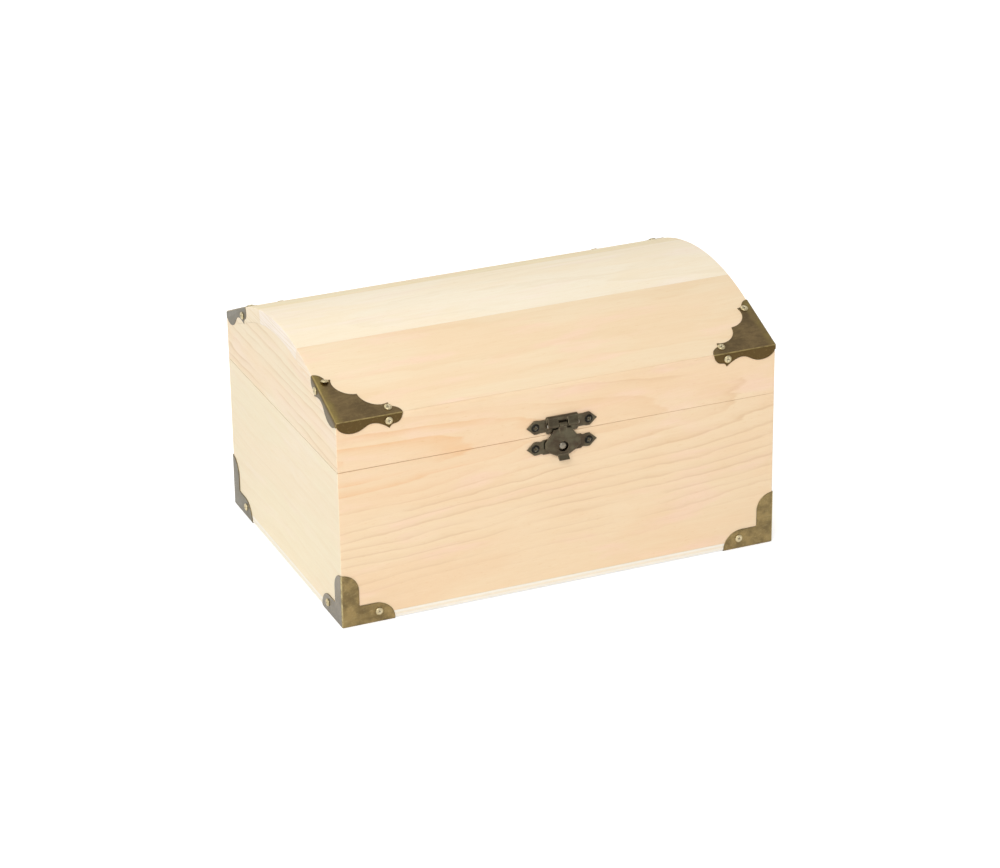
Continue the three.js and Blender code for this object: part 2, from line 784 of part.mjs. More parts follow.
function addBase() {
  const wallFoot = woodBottom + bottomSheet + glueLine;
  const sheetSolid = boxSolid([-halfLength, -halfWidth, woodBottom], [
    halfLength, halfWidth, woodBottom + bottomSheet,
  ]);
  addBoard(base, "bottom_panel", sheetSolid, baseHoles, plywood);
  for (const [name, side] of [["front", -1], ["back", 1]]) {
    const board = prismZ(longBoardPlan(side), wallFoot, rimZ);
    addBoard(base, `base_${name}_panel`, board, baseHoles, frontPine);
  }
  for (const [name, side] of [["left", -1], ["right", 1]]) {
    const board = prismZ(endBoardPlan(side), wallFoot, rimZ);
    addBoard(base, `base_${name}_end`, board, baseHoles, endPine);
  }
}

function addLid() {
  for (const [name, side] of [["front", -1], ["back", 1]]) {
    const outline = railOutline().map(([y, z]) => [-side * y, z]);
    const rail = prismX(outline, -halfLength, halfLength)
      .intersect(prismZ(longBoardPlan(side), lidRimZ - overrun, crownZ));
    addBoard(lid, `lid_${name}_rail`, rail, lidHoles, frontPine);
  }
  for (const [name, side] of [["left", -1], ["right", 1]]) {
    const ends = [side * halfLength, side * (halfLength - wall)];
    const arch = prismX(lidEndOutline(), Math.min(...ends), Math.max(...ends))
      .intersect(prismZ(endBoardPlan(side), lidRimZ - overrun, crownZ));
    addBoard(lid, `lid_${name}_end`, arch, lidHoles, endPine);
  }
  const backStaveOutline = frontStaveOutline().map(([y, z]) => [-y, z]);
  for (const [name, outline, material] of [
    ["front", frontStaveOutline(), frontPine],
    ["centre", centreStaveOutline(), paleTopPine],
    ["back", backStaveOutline, paleTopPine],
  ]) {
    addBoard(lid, `lid_${name}_stave`, prismX(outline, -halfLength, halfLength), lidHoles, material);
  }
}

// Four mirror images of one bracket with its holes, and their screws.
function addBrackets(group, label, solid, places) {
  const holes = joined(Object.values(places).map(pilotSolid));
  const geometry = geometryOf(solid.subtract(holes));
  const screw = geometryOf(screwSolid());
  for (const [corner, sideX, sideY] of corners) {
    const bracket = addPiece(group, `${label}_bracket_${corner}`, geometry, agedBronze);
    bracket.scale.set(sideX, sideY, 1);
    for (const [spot, place] of Object.entries(places)) {
      const mesh = addPiece(group, `${label}_screw_${corner}_${spot}`, screw, paleBrass);
      mesh.applyMatrix4(placeMatrix(mirroredPlace(place, sideX, sideY)));
    }
  }
}

function addHasp() {
  addPiece(lid, "hasp_hinge_plate", geometryOf(hingePlate(upperHoles)), darkBronze);
  addPiece(lid, "hasp_pin", geometryOf(haspPin()), darkBronze);
  addPiece(flap, "hasp_flap", geometryOf(latchFlap()), darkBronze);
  addPiece(base, "hasp_catch_plate", geometryOf(catchPlate(lowerHoles)), darkBronze);
  const screw = geometryOf(screwSolid(plateScrewSize));
  for (const [group, level, z] of [[lid, "upper", upperPlateZ], [base, "lower", lowerPlateZ]]) {
    for (const [name, side] of [["left", -1], ["right", 1]]) {
      const mesh = addPiece(group, `hasp_screw_${level}_${name}`, screw, darkBronze);
      mesh.applyMatrix4(placeMatrix(plateScrewPlace(side, z)));
    }
  }
}

function addHinges() {
  for (const [name, x] of hinges) {
    addPiece(lid, `hinge_${name}_lid_leaf`, geometryOf(hingeLeaf(x, 1)), agedBronze);
    addPiece(base, `hinge_${name}_base_leaf`, geometryOf(hingeLeaf(x, -1)), agedBronze);
    addPiece(base, `hinge_${name}_pin`, geometryOf(hingePin(x)), agedBronze);
  }
}

addBase();
addLid();
addBrackets(base, "base", baseBracket(), baseScrewPlaces);
addBrackets(lid, "lid", lidBracket(), lidScrewPlaces);
addHasp();
addHinges();

export default chest;
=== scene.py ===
# %% [markdown]
# A small wooden treasure chest: raw pine boards, a barrel lid of three staves, stamped bronze corners
# with domed screws, and a dark hasp on the front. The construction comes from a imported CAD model, and
# this file gives it its looks. Each step first says what the piece is on the real chest and how it
# could be made, and then makes it.

import json
import math

import bmesh
import bpy
import numpy as np
from mathutils import Matrix, Vector

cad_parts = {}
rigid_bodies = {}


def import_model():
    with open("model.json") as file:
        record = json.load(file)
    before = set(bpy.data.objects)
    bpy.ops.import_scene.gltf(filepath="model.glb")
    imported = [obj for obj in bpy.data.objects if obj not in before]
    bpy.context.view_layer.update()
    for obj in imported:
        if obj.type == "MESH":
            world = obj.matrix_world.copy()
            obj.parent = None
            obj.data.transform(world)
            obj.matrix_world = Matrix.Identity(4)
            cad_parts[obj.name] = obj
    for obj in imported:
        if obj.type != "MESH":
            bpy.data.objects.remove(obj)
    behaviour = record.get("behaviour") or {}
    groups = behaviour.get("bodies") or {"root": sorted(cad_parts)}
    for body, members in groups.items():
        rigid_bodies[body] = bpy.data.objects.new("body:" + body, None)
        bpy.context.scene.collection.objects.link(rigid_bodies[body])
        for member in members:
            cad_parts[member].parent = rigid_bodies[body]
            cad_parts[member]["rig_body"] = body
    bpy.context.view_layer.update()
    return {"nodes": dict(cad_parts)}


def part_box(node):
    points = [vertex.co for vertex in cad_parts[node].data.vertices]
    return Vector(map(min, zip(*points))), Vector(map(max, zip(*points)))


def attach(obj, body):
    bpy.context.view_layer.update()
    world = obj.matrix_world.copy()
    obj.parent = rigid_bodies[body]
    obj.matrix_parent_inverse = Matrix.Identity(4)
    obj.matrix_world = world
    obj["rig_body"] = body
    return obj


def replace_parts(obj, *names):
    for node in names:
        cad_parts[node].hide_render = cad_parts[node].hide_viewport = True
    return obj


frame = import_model()
nodes = frame["nodes"]

# %% [markdown]
# Every size below is in metres, as in the frame, so a millimetre gets a name. The main sizes are read
# from the boxes of the CAD nodes, which keeps this file in step with the model. The slope is the angle,
# in radians, at which the lid's arched ends leave each ridge.

# %% Sizes read from the frame
mm = 0.001
rail_low, rail_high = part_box("lid_front_rail")
half_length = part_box("lid_front_stave")[1].x
half_width = -rail_low.y
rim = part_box("base_front_panel")[1].z
ridge = rail_high.z
wall = rail_high.y - rail_low.y
slope = 0.375
print("body", round(2 * half_length / mm, 1), "x", round(2 * half_width / mm, 1), "mm, ridge at",
      round(ridge / mm, 1), "mm")

# %% [markdown]
# Colours are written as the 0 to 255 numbers that a picture shows, and turned into the linear light
# values that a shader works with. A small desk object adds nodes to one tree and joins them, so a recipe
# reads from top to bottom.


# %% Colour and node helpers
def tint(red, green, blue):
    """Linear light of an sRGB colour: a straight foot near black and a 2.4 power above it."""
    parts = np.array([red, green, blue]) / 255
    light = np.where(parts <= 0.04045, parts / 12.92, ((parts + 0.055) / 1.055) ** 2.4)
    return (*light.tolist(), 1.0)


class Desk:
    """The node tree of a material or a world, with short ways to add and join nodes."""

    def __init__(self, owner):
        self.owner = owner
        owner.use_nodes = True
        self.tree = owner.node_tree
        self.tree.nodes.clear()

    def feed(self, socket, value):
        """Joins a socket to an output, or sets it to a plain value."""
        if isinstance(value, bpy.types.NodeSocket):
            self.tree.links.new(value, socket)
        else:
            socket.default_value = value

    def add(self, kind, inputs=None, **settings):
        node = self.tree.nodes.new(kind)
        for key, value in settings.items():
            setattr(node, key, value)
        for key, value in (inputs or {}).items():
            self.feed(node.inputs[key], value)
        return node

    def math(self, operation, first, second=0.0, third=0.0):
        return self.add("ShaderNodeMath", {0: first, 1: second, 2: third}, operation=operation).outputs[0]

    def vector(self, operation, first, second=(0, 0, 0)):
        return self.add("ShaderNodeVectorMath", {0: first, 1: second}, operation=operation).outputs[0]

    def dot(self, first, second):
        inputs = {0: first, 1: second}
        return self.add("ShaderNodeVectorMath", inputs, operation="DOT_PRODUCT").outputs["Value"]

    def parts(self, vector):
        """The three numbers of a vector."""
        return self.add("ShaderNodeSeparateXYZ", {0: vector}).outputs

    def noise(self, place, scale, detail=2.0, roughness=0.5):
        """Smooth noise from 0 to 1; scale is one number, or one for each direction."""
        if isinstance(scale, tuple):
            place, scale = self.vector("MULTIPLY", place, scale), 1.0
        inputs = {"Vector": place, "Scale": scale, "Detail": detail, "Roughness": roughness}
        return self.add("ShaderNodeTexNoise", inputs).outputs["Fac"]

    def between(self, value, low, high):
        """0 below low, 1 above high, and a smooth step between them."""
        inputs = {"Value": value, "From Min": low, "From Max": high}
        return self.add("ShaderNodeMapRange", inputs, interpolation_type="SMOOTHSTEP").outputs[0]

    def mix(self, share, first, second, blend="MIX"):
        inputs = {"Factor": share, 6: first, 7: second}
        return self.add("ShaderNodeMix", inputs, data_type="RGBA", blend_type=blend).outputs[2]

    def finish(self, inputs):
        shader = self.add("ShaderNodeBsdfPrincipled", inputs)
        self.add("ShaderNodeOutputMaterial", {"Surface": shader.outputs[0]})
        return self.owner


def new_desk(name):
    """The desk of a new material."""
    return Desk(bpy.data.materials.new(name))


def new_object(name, data):
    """An object with its mesh, light or camera, put into the scene."""
    added = bpy.data.objects.new(name, data)
    bpy.context.scene.collection.objects.link(added)
    return added


print("helpers ready")

# %% [markdown]
# Raw pine. A board is a slice of a tree, so its figure is worked out as the tree grew: rings round a
# pith line that runs nearly along the board. Where the saw cuts the rings flat they show as nested
# arches, and further away as long lines; on an end they show as arcs. A wood picture could be wrapped
# round the box instead, but solid rings agree at every corner, and run on across the sawn seam.


# %% Pine material
def pine(name, early, late, heart, pith, tilt, ring, along="X", lines=0.6, dashes=0.5, end=None,
         reach=1.0, late_heart=tint(241, 193, 142), pink=tint(250, 217, 192)):
    """Rings at even distances from a tilted pith line, bent by slow waves, with fibres along them.

    From early to late in a year the colour deepens as a soft band, and as a line near the ring's end,
    and drops back. pith is the line's place across the board in the two directions other than along, in
    metres, tilt its drift in each of them for each metre along, and ring the width of a ring. The rings
    fade out at reach from the pith. lines and dashes are the shares at which the rings and the short
    resin dashes show. The wood turns to the heart colours near the pith, blushes pink in patches, and
    turns to the end colour, if given, where it is cut across, with the years as fine lines.
    """
    desk = new_desk(name)
    coordinates = desk.add("ShaderNodeTexCoord").outputs
    parts = desk.parts(coordinates["Object"])
    order = {"X": (0, 1, 2), "Y": (1, 0, 2)}[along]
    length, deep, high = (parts[i] for i in order)
    board = desk.add("ShaderNodeCombineXYZ", {0: length, 1: deep, 2: high}).outputs[0]

    wave = desk.add("ShaderNodeTexNoise", {
        "Vector": desk.vector("MULTIPLY", board, (13, 60, 60)),
        "Scale": 1.0, "Detail": 4.0, "Roughness": 0.55,
    }).outputs["Color"]
    shift = desk.vector("MULTIPLY", desk.vector("SUBTRACT", wave, (0.5, 0.5, 0.5)), (0, 0.009, 0.009))
    bent = desk.parts(desk.vector("ADD", board, shift))
    from_pith = [
        desk.math("SUBTRACT", bent[i + 1], desk.math("MULTIPLY_ADD", length, tilt[i], pith[i]))
        for i in range(2)
    ]
    grown = desk.add("ShaderNodeCombineXYZ", {0: length, 1: from_pith[0], 2: from_pith[1]}).outputs[0]
    squares = [desk.math("MULTIPLY", part, part) for part in from_pith]
    distance = desk.math("SQRT", desk.math("ADD", *squares))
    near = desk.between(distance, 0.030, 0.010)

    count = desk.math("DIVIDE", distance, ring)
    phase = desk.math("FRACT", count)
    year = desk.math("FLOOR", count)
    own = desk.add("ShaderNodeTexWhiteNoise", {"W": year}, noise_dimensions="1D").outputs["Value"]
    band_share = desk.math("MULTIPLY_ADD", near, 0.62, 0.4)
    line_share = desk.math("MULTIPLY_ADD", near, -0.55, 0.6)
    band = desk.math("MULTIPLY", desk.between(phase, 0.2, 0.95), band_share)
    line = desk.math("MULTIPLY", desk.between(phase, 0.70, 0.90), line_share)
    stop = desk.between(phase, 1.0, 0.90)
    summer = desk.math("MULTIPLY", desk.math("ADD", band, line), stop)
    fade = desk.between(desk.noise(grown, (22, 150, 150), 3.0), 0.30, 0.58)
    fade = desk.math("MULTIPLY", fade, desk.between(distance, reach * 1.2, reach * 0.8))
    strength = desk.math("MULTIPLY_ADD", own, 0.55, 0.45)
    share = desk.math("MULTIPLY", desk.math("MULTIPLY", summer, fade), strength)

    fibres = desk.noise(grown, (60, 2000, 2000), 3.0, 0.6)
    streaks = desk.noise(grown, (30, 520, 520), 3.0, 0.6)
    dash = desk.between(desk.noise(grown, (330, 2400, 2400), 1.0), 0.64, 0.78)
    clouds = desk.between(desk.noise(grown, (16, 55, 55), 2.0), 0.42, 0.62)
    blush = desk.between(desk.noise(grown, (24, 110, 110), 3.0), 0.5, 0.7)
    warmth = desk.math("MULTIPLY_ADD", clouds, 0.55, desk.math("MULTIPLY", near, 0.6))

    colour = desk.mix(desk.math("MINIMUM", warmth, 1.0), early, heart)
    colour = desk.mix(desk.math("MULTIPLY", blush, 0.6), colour, pink)
    ring_colour = desk.mix(near, late, late_heart)
    colour = desk.mix(desk.math("MULTIPLY", share, lines), colour, ring_colour)
    if end:
        facing = desk.parts(coordinates["Normal"])[order[0]]
        across = desk.between(desk.math("ABSOLUTE", facing), 0.6, 0.9)
        years = desk.between(desk.noise(board, (0, 45, 1400), 2.0), 0.46, 0.64)
        end = desk.mix(desk.math("MULTIPLY", years, 0.4), end, late)
        colour = desk.mix(desk.math("MULTIPLY", across, 0.85), colour, end)
    tones = [
        desk.math("MULTIPLY_ADD", fibres, 0.09, 0.955),
        desk.math("MULTIPLY_ADD", streaks, 0.085, 0.9575),
        desk.math("MULTIPLY_ADD", dash, -0.14 * dashes, 1.0),
    ]
    tone = desk.math("MULTIPLY", desk.math("MULTIPLY", tones[0], tones[1]), tones[2])
    warm = desk.add("ShaderNodeCombineXYZ", {
        0: desk.math("POWER", tone, 0.5), 1: tone, 2: desk.math("POWER", tone, 1.8),
    })
    colour = desk.mix(1.0, colour, warm.outputs[0], "MULTIPLY")

    relief = desk.math("MULTIPLY_ADD", share, 0.5, desk.math("SUBTRACT", fibres, dash))
    bump = desk.add("ShaderNodeBump", {"Strength": 0.3, "Distance": 0.04 * mm, "Height": relief})
    return desk.finish({
        "Base Color": colour,
        "Roughness": desk.math("MULTIPLY_ADD", fibres, 0.16, 0.56),
        "Normal": bump.outputs[0],
        "Specular IOR Level": 0.25,
    })


front_pine = pine(
    "front_pine", tint(246, 220, 184), tint(224, 188, 146), tint(245, 213, 175),
    pith=(-0.052, 0.075), tilt=(0.083, 0.02), ring=3.9 * mm, lines=0.62, dashes=0.5, reach=0.056,
)
stave_pine = pine(
    "stave_pine", tint(244, 221, 186), tint(234, 198, 150), tint(244, 214, 175),
    pith=(0.06, -0.02), tilt=(0.01, 0.012), ring=5.2 * mm, lines=0.3, dashes=0.45,
    end=tint(250, 234, 212),
)
cream_pine = pine(
    "cream_pine", tint(250, 237, 212), tint(226, 204, 164), tint(250, 232, 200),
    pith=(-0.01, 0.16), tilt=(0.02, -0.03), ring=3.4 * mm, lines=0.18, dashes=0.5,
    end=tint(252, 240, 228), pink=tint(252, 236, 216),
)
back_pine = pine(
    "back_pine", tint(244, 229, 194), tint(226, 200, 152), tint(246, 225, 182),
    pith=(0.09, 0.02), tilt=(0.03, -0.05), ring=3.6 * mm, lines=0.5, end=tint(248, 232, 206),
    pink=tint(247, 226, 196),
)
rear_pine = pine(
    "rear_pine", tint(246, 220, 184), tint(220, 188, 150), tint(245, 213, 175),
    pith=(0.056, 0.028), tilt=(-0.06, 0.015), ring=4.4 * mm, lines=0.6, dashes=0.5, reach=0.075,
)
end_pine = pine(
    "board_pine", tint(246, 232, 202), tint(232, 210, 174), tint(248, 229, 200),
    pith=(-0.02, -0.16), tilt=(0.02, 0.01), ring=6.5 * mm, along="Y", lines=0.2, dashes=0.3,
    pink=tint(249, 234, 210),
)
arch_pine = pine(
    "arch_pine", tint(247, 231, 202), tint(218, 186, 142), tint(249, 223, 190),
    pith=(-0.075, -0.06), tilt=(0.02, 0.015), ring=4.3 * mm, along="Y", lines=0.6, dashes=0.5, reach=0.178,
    pink=tint(250, 229, 206),
)
pines = (front_pine, stave_pine, cream_pine, back_pine, rear_pine, end_pine, arch_pine)
print("pine materials:", [m.name for m in pines])

# %% [markdown]
# Thin plywood closes the box underneath. Its layers show as stripes on the edges, so the colour follows
# the height, with the middle layer's fibres running the other way.


# %% Plywood material
def plywood(name, face, core, low, layer):
    """Three even layers counted upwards from low; the middle one is the core's colour."""
    desk = new_desk(name)
    place = desk.add("ShaderNodeTexCoord").outputs["Object"]
    level = desk.math("DIVIDE", desk.math("SUBTRACT", desk.parts(place)[2], low), layer)
    core_share = desk.math("COMPARE", level, 1.5, 0.5)
    fibres = desk.noise(place, (50, 900, 900), 3.0)
    cross = desk.noise(place, (700, 60, 900), 3.0)
    colour = desk.mix(core_share, face, core)
    grain = desk.mix(core_share, fibres, cross)
    tone = desk.add("ShaderNodeMapRange", {"Value": grain, "To Min": 0.92, "To Max": 1.04}).outputs[0]
    colour = desk.mix(1.0, colour, tone, "MULTIPLY")
    bump = desk.add("ShaderNodeBump", {"Strength": 0.3, "Distance": 0.05 * mm, "Height": grain})
    return desk.finish({
        "Base Color": colour,
        "Roughness": 0.72,
        "Normal": bump.outputs[0],
        "Specular IOR Level": 0.2,
    })


sheet_low, sheet_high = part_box("bottom_panel")
layer = (sheet_high.z - sheet_low.z) / 3
bottom_ply = plywood("bottom_ply", tint(253, 247, 234), tint(249, 238, 218), sheet_low.z, layer)
print("plywood layer", round(layer / mm, 2), "mm")

# %% [markdown]
# The fittings are thin steel with an antique bronze plating: brown with an olive cast, and cloudy where
# the bath took unevenly. Bends and edges turn a paler gold, partly rubbed wear and partly a painted
# highlight;
# on the bronze brackets the cut edges are painted darker instead, as painted shade. Faces that look along
# some axes get a painted reflection or painted shade, and the lid's front roof plates a painted sheen near
# the ends. A metal mirrors what stands round it, so most of its look comes from roughness that wanders,
# and from edges that are never quite sharp. A cut edge is found by comparing the true facing with a
# slightly rounded one, and a fold is where the sheet faces along none of the chest's flat sides.


# %% Metal material
# The colour painted into the screws' cross recesses: painted shade on the pale brass heads; on the dark
# steel heads it is paler and reads as dust.
recess_shade_and_dust = tint(84, 70, 46)


def aged_metal(name, body, dark, wear_and_highlight, roughness, edge=None, specks=0.1, painted_facing_tints=(), fold_wear_and_highlight=None,
               painted_sheen=None):
    """Plating that wanders between body and dark, with the edge colour, or the paler colour, at cut edges.

    A given edge colour is darker: painted shade along the cut edges. The paler colour is partly wear and
    partly a painted highlight on cut edges and bends, and wear alone on the specks. The tints by facing
    have an axis, a colour and a share for each pair of sides whose faces get a painted reflection or
    painted shade.
    The fold shares are those of the paler colour on bends along the chest and on the others, less where
    they look down, away from the light. The sheen is a painted highlight on the roof plates beside the
    ends.
    specks is the share of small rubbed dots, and the recess colour is painted shade where a screw's own
    recess attribute marks its cross; on the dark steel heads that colour is paler, as dust.
    """
    desk = new_desk(name)
    place = desk.add("ShaderNodeTexCoord").outputs["Object"]
    clouds = desk.noise(place, 130.0, 4.0, 0.6)
    streaks = desk.noise(place, (300, 900, 500), 3.0, 0.6)
    fine = desk.noise(place, 1100.0)
    surface = desk.add("ShaderNodeNewGeometry").outputs["True Normal"]
    facing = desk.vector("ABSOLUTE", surface)
    axes = desk.parts(facing)
    blotch = desk.math("MULTIPLY_ADD", streaks, 0.35, desk.math("MULTIPLY", clouds, 0.65))
    colour = desk.mix(desk.between(blotch, 0.36, 0.64), body, dark)
    # Faces that look along an axis are tinted: a greyer painted reflection of the floor on the base
    # brackets' end flanges, and painted shade on the lid brackets' flanges and the back brackets' ends.
    for axis, side, share in painted_facing_tints:
        square = desk.between(axes[axis], 0.86, 0.96)
        patchy = desk.math("MULTIPLY_ADD", clouds, -0.4 * share, 1.2 * share)
        colour = desk.mix(desk.math("MULTIPLY", square, patchy), colour, side)
    # A painted highlight, in patches, on the roof plates near the ends.
    if painted_sheen:
        outward = desk.math("ABSOLUTE", desk.parts(place)[0])
        beside = desk.between(outward, half_length - 4.4 * mm, half_length - 0.8 * mm)
        beside = desk.math("MULTIPLY", beside, desk.between(axes[2], 0.6, 0.85))
        beside = desk.math("MULTIPLY", beside, desk.between(clouds, 0.30, 0.72))
        colour = desk.mix(beside, colour, painted_sheen)
    # Painted shade in a screw's cross recess, where its recess attribute marks the cross.
    recess = desk.add("ShaderNodeAttribute", attribute_name="recess").outputs["Fac"]
    colour = desk.mix(desk.math("MULTIPLY", recess, 0.85), colour, recess_shade_and_dust)
    speck = desk.math("MULTIPLY", desk.between(fine, 0.56, 0.72), specks)
    colour = desk.mix(speck, colour, wear_and_highlight)
    # Cut edges: a given edge colour, darker, is painted shade along the bronze brackets' edges; without
    # one, the paler colour is partly wear and partly a painted highlight.
    rounded = desk.add("ShaderNodeBevel", {"Radius": 0.6 * mm}, samples=6).outputs[0]
    cut_edge_mask = desk.between(desk.dot(rounded, surface), 0.995, 0.90)
    colour = desk.mix(desk.math("MULTIPLY", cut_edge_mask, 0.8), colour, edge or wear_and_highlight)
    # Bends take the paler colour, partly wear and partly a painted highlight; its share changes with the
    # bend's direction and fades where a bend looks down, away from the light.
    if fold_wear_and_highlight:
        on_slope = desk.dot(facing, (0, math.sin(slope), math.cos(slope)))
        upright = desk.math("MAXIMUM", axes[0], axes[1])
        flatness = desk.math("MAXIMUM", upright, desk.math("MAXIMUM", axes[2], on_slope))
        turned_out = desk.between(axes[0], 0.05, 0.25)
        worth = desk.math("MULTIPLY_ADD", turned_out, fold_wear_and_highlight[1] - fold_wear_and_highlight[0], fold_wear_and_highlight[0])
        fold = desk.math("MULTIPLY", desk.between(flatness, 0.985, 0.94), worth)
        fold = desk.math("MULTIPLY", fold, desk.between(streaks, 0.25, 0.65))
        looks_up = desk.between(desk.parts(surface)[2], -0.3, -0.05)
        colour = desk.mix(desk.math("MULTIPLY", fold, looks_up), colour, wear_and_highlight)
    bump = desk.add("ShaderNodeBump", {
        "Strength": 0.2, "Distance": 0.03 * mm, "Height": fine, "Normal": rounded,
    })
    return desk.finish({
        "Base Color": colour,
        "Metallic": 1.0,
        "Roughness": desk.math("MULTIPLY_ADD", blotch, 0.3, roughness - 0.15),
        "Normal": bump.outputs[0],
    })


# The lid's front brackets and all the back brackets take darker copies of the base brackets' plating:
# painted shade where the same plating looks darker. On all three, the tints by facing are painted
# reflection or shade, the darker edge colours painted shade, and the lid's sheen a painted highlight.
bronze = aged_metal(
    "antique_bronze", tint(146, 127, 86), tint(111, 96, 66), tint(214, 200, 152), 0.36,
    edge=tint(72, 62, 42), painted_facing_tints=((0, tint(108, 103, 94), 0.85),), fold_wear_and_highlight=(0.8, 0.6),
)
lid_bronze_shaded = aged_metal(
    "lid_bronze_painted_shade", tint(128, 108, 74), tint(104, 87, 60), tint(190, 168, 110), 0.36,
    edge=tint(100, 84, 54), painted_facing_tints=((1, tint(87, 69, 39), 0.9), (0, tint(93, 78, 44), 1.0)),
    fold_wear_and_highlight=(0.7, 0.2), painted_sheen=tint(150, 132, 78),
)
back_bronze_shaded = aged_metal(
    "back_bronze_shaded", tint(134, 118, 80), tint(108, 94, 64), tint(190, 172, 124), 0.38,
    edge=tint(84, 76, 56), painted_facing_tints=((0, tint(99, 93, 76), 0.95),), fold_wear_and_highlight=(0.6, 0.2),
)
gunmetal = aged_metal("dark_gunmetal", tint(92, 86, 69), tint(72, 61, 49), tint(118, 106, 86), 0.40)
brass = aged_metal("screw_brass", tint(206, 192, 155), tint(180, 165, 126), tint(222, 210, 178), 0.42)
steel = aged_metal(
    "blued_steel", tint(44, 42, 37), tint(30, 29, 26), tint(112, 108, 94), 0.36, specks=0.05)
rivet_steel = aged_metal(
    "rivet_steel", tint(184, 176, 160), tint(132, 124, 110), tint(216, 210, 196), 0.30)
metals = (bronze, lid_bronze_shaded, back_bronze_shaded, gunmetal, brass, steel, rivet_steel)
print("metals:", [m.name for m in metals])

# %% [markdown]
# The CAD pieces keep their shapes, and each gets its finish by name.


# %% Dress the CAD nodes
wood_finish = {
    "bottom_panel": bottom_ply, "base_back_panel": rear_pine, "lid_back_rail": rear_pine,
    "base_left_end": end_pine, "base_right_end": end_pine,
    "lid_left_end": arch_pine, "lid_right_end": arch_pine,
    "lid_front_stave": stave_pine, "lid_centre_stave": cream_pine, "lid_back_stave": back_pine,
}
metal_finish = {"hasp_screw": steel, "hasp": gunmetal, "bracket": bronze, "hinge": bronze, "screw": brass}


def finish_of(name):
    """The material of a CAD node: the first metal whose word is in its name, or else its wood."""
    for word, metal in metal_finish.items():
        if word in name:
            return metal
    return wood_finish.get(name, front_pine)


def dress(piece, material):
    """Gives a piece one material in place of those it had."""
    piece.data.materials.clear()
    piece.data.materials.append(material)


for name, node in nodes.items():
    dress(node, finish_of(name))
print("dressed", len(nodes), "nodes")

# %% [markdown]
# The CAD solids are made of flat facets, which is right for fitting and for collision. A piece that the
# eye meets on a curve is made again below as a smooth surface on the same outline. Each surface is a
# grid of points, worked out for the whole grid at once, and each new piece rides on the same body as
# the CAD node that it stands for.


# %% Grids and pieces
def grid_quads(rows, columns, ring=False):
    """Corner numbers of the quads between neighbouring points of a grid; ring also joins its two sides."""
    index = np.arange(rows * columns).reshape(rows, columns)
    left, right = (index, np.roll(index, -1, axis=1)) if ring else (index[:, :-1], index[:, 1:])
    return np.stack([left[:-1], right[:-1], right[1:], left[1:]], axis=-1).reshape(-1, 4)


def grid_patch(points, ring=False):
    """A patch from a grid of points, as its flat list of points and its faces."""
    rows, columns = points.shape[:2]
    return points.reshape(-1, 3), grid_quads(rows, columns, ring).tolist()


def plate_patch(points):
    """A patch of one flat face whose outline is a closed run of points."""
    return points, [list(range(len(points)))]


def capped_patches(rings):
    """A closed shape from rings of points: the walls between them and a flat cap at either end."""
    return [grid_patch(rings, ring=True), plate_patch(rings[0]), plate_patch(rings[-1])]


def shaded_object(name, mesh, work, material, smooth):
    """An object of the mesh that work leaves, smooth but for edges that turn by more than an angle."""
    work.to_mesh(mesh)
    work.free()
    mesh.shade_smooth()
    mesh.set_sharp_from_angle(angle=math.radians(smooth))
    mesh.materials.append(material)
    return new_object(name, mesh)


def add_piece(name, patches, material, body, inside=None, smooth=35.0, weld=0.02 * mm):
    """One piece from patches: doubles merged, faces turned outward, and set on a body.

    inside is a point that an open sheet's faces look away from; a closed piece needs none.
    """
    points = np.concatenate([patch_points for patch_points, _ in patches])
    starts = np.cumsum([0] + [len(patch_points) for patch_points, _ in patches])
    faces = [[start + i for i in face] for start, (_, own) in zip(starts, patches) for face in own]
    mesh = bpy.data.meshes.new(name)
    mesh.from_pydata(points.tolist(), [], faces)
    work = bmesh.new()
    work.from_mesh(mesh)
    bmesh.ops.remove_doubles(work, verts=work.verts, dist=weld)
    bmesh.ops.dissolve_degenerate(work, edges=work.edges, dist=weld)
    bmesh.ops.recalc_face_normals(work, faces=work.faces)
    if inside is not None:
        middle = Vector(inside)
        outward = sum((f.calc_center_median() - middle).dot(f.normal) * f.calc_area() for f in work.faces)
        if outward < 0:
            bmesh.ops.reverse_faces(work, faces=work.faces)
    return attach(shaded_object(name, mesh, work, material, smooth), body)


def build_piece(name, patches, material, node, **settings):
    """A piece that stands for a CAD node and rides on the same body."""
    piece = add_piece(name, patches, material, nodes[node]["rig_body"], **settings)
    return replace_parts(piece, node)


def soften(piece, width, segments=2, angle=40.0):
    """Rounds the edges of a piece that turn by more than an angle."""
    round_edges = piece.modifiers.new("soft_edges", "BEVEL")
    round_edges.width = width
    round_edges.segments = segments
    round_edges.limit_method = "ANGLE"
    round_edges.angle_limit = math.radians(angle)
    round_edges.harden_normals = True
    return piece


print("grid helpers ready")

# %% [markdown]
# The lid's end view is a wall, a rounded ridge, a flat slope where the brackets lie, and a round crown.
# On the real chest three staves are glued edge to edge on the arched ends and sanded to this line. The
# slope's angle comes from the way the front bracket lies, and the crown's radius follows from it. Hand
# sanding has left the crown a touch fuller towards the back, which shows against the sky line.

# %% Sizes of the roof
haunch = 33 * mm
stave = 6 * mm
ridge_steps = 9
crown_steps = 17
centre_steps = 49
joint_reach = 23.3 * mm
ridge_round = 2 * mm
glue_line = 0.06 * mm
arch_radius = (half_width - haunch * math.cos(slope)) / math.sin(slope)
arch_height = ridge + haunch * math.sin(slope) - arch_radius * math.cos(slope)
rise = arch_height + arch_radius - ridge
lean = 1.3 * mm
crown_radius = ((half_width + lean) * math.sin(slope) - rise * math.cos(slope)) / (1 - math.cos(slope))
crown_height = ridge + rise - crown_radius
print("crown at", round((crown_height + crown_radius) / mm, 2), "mm, radius", round(crown_radius / mm, 1))


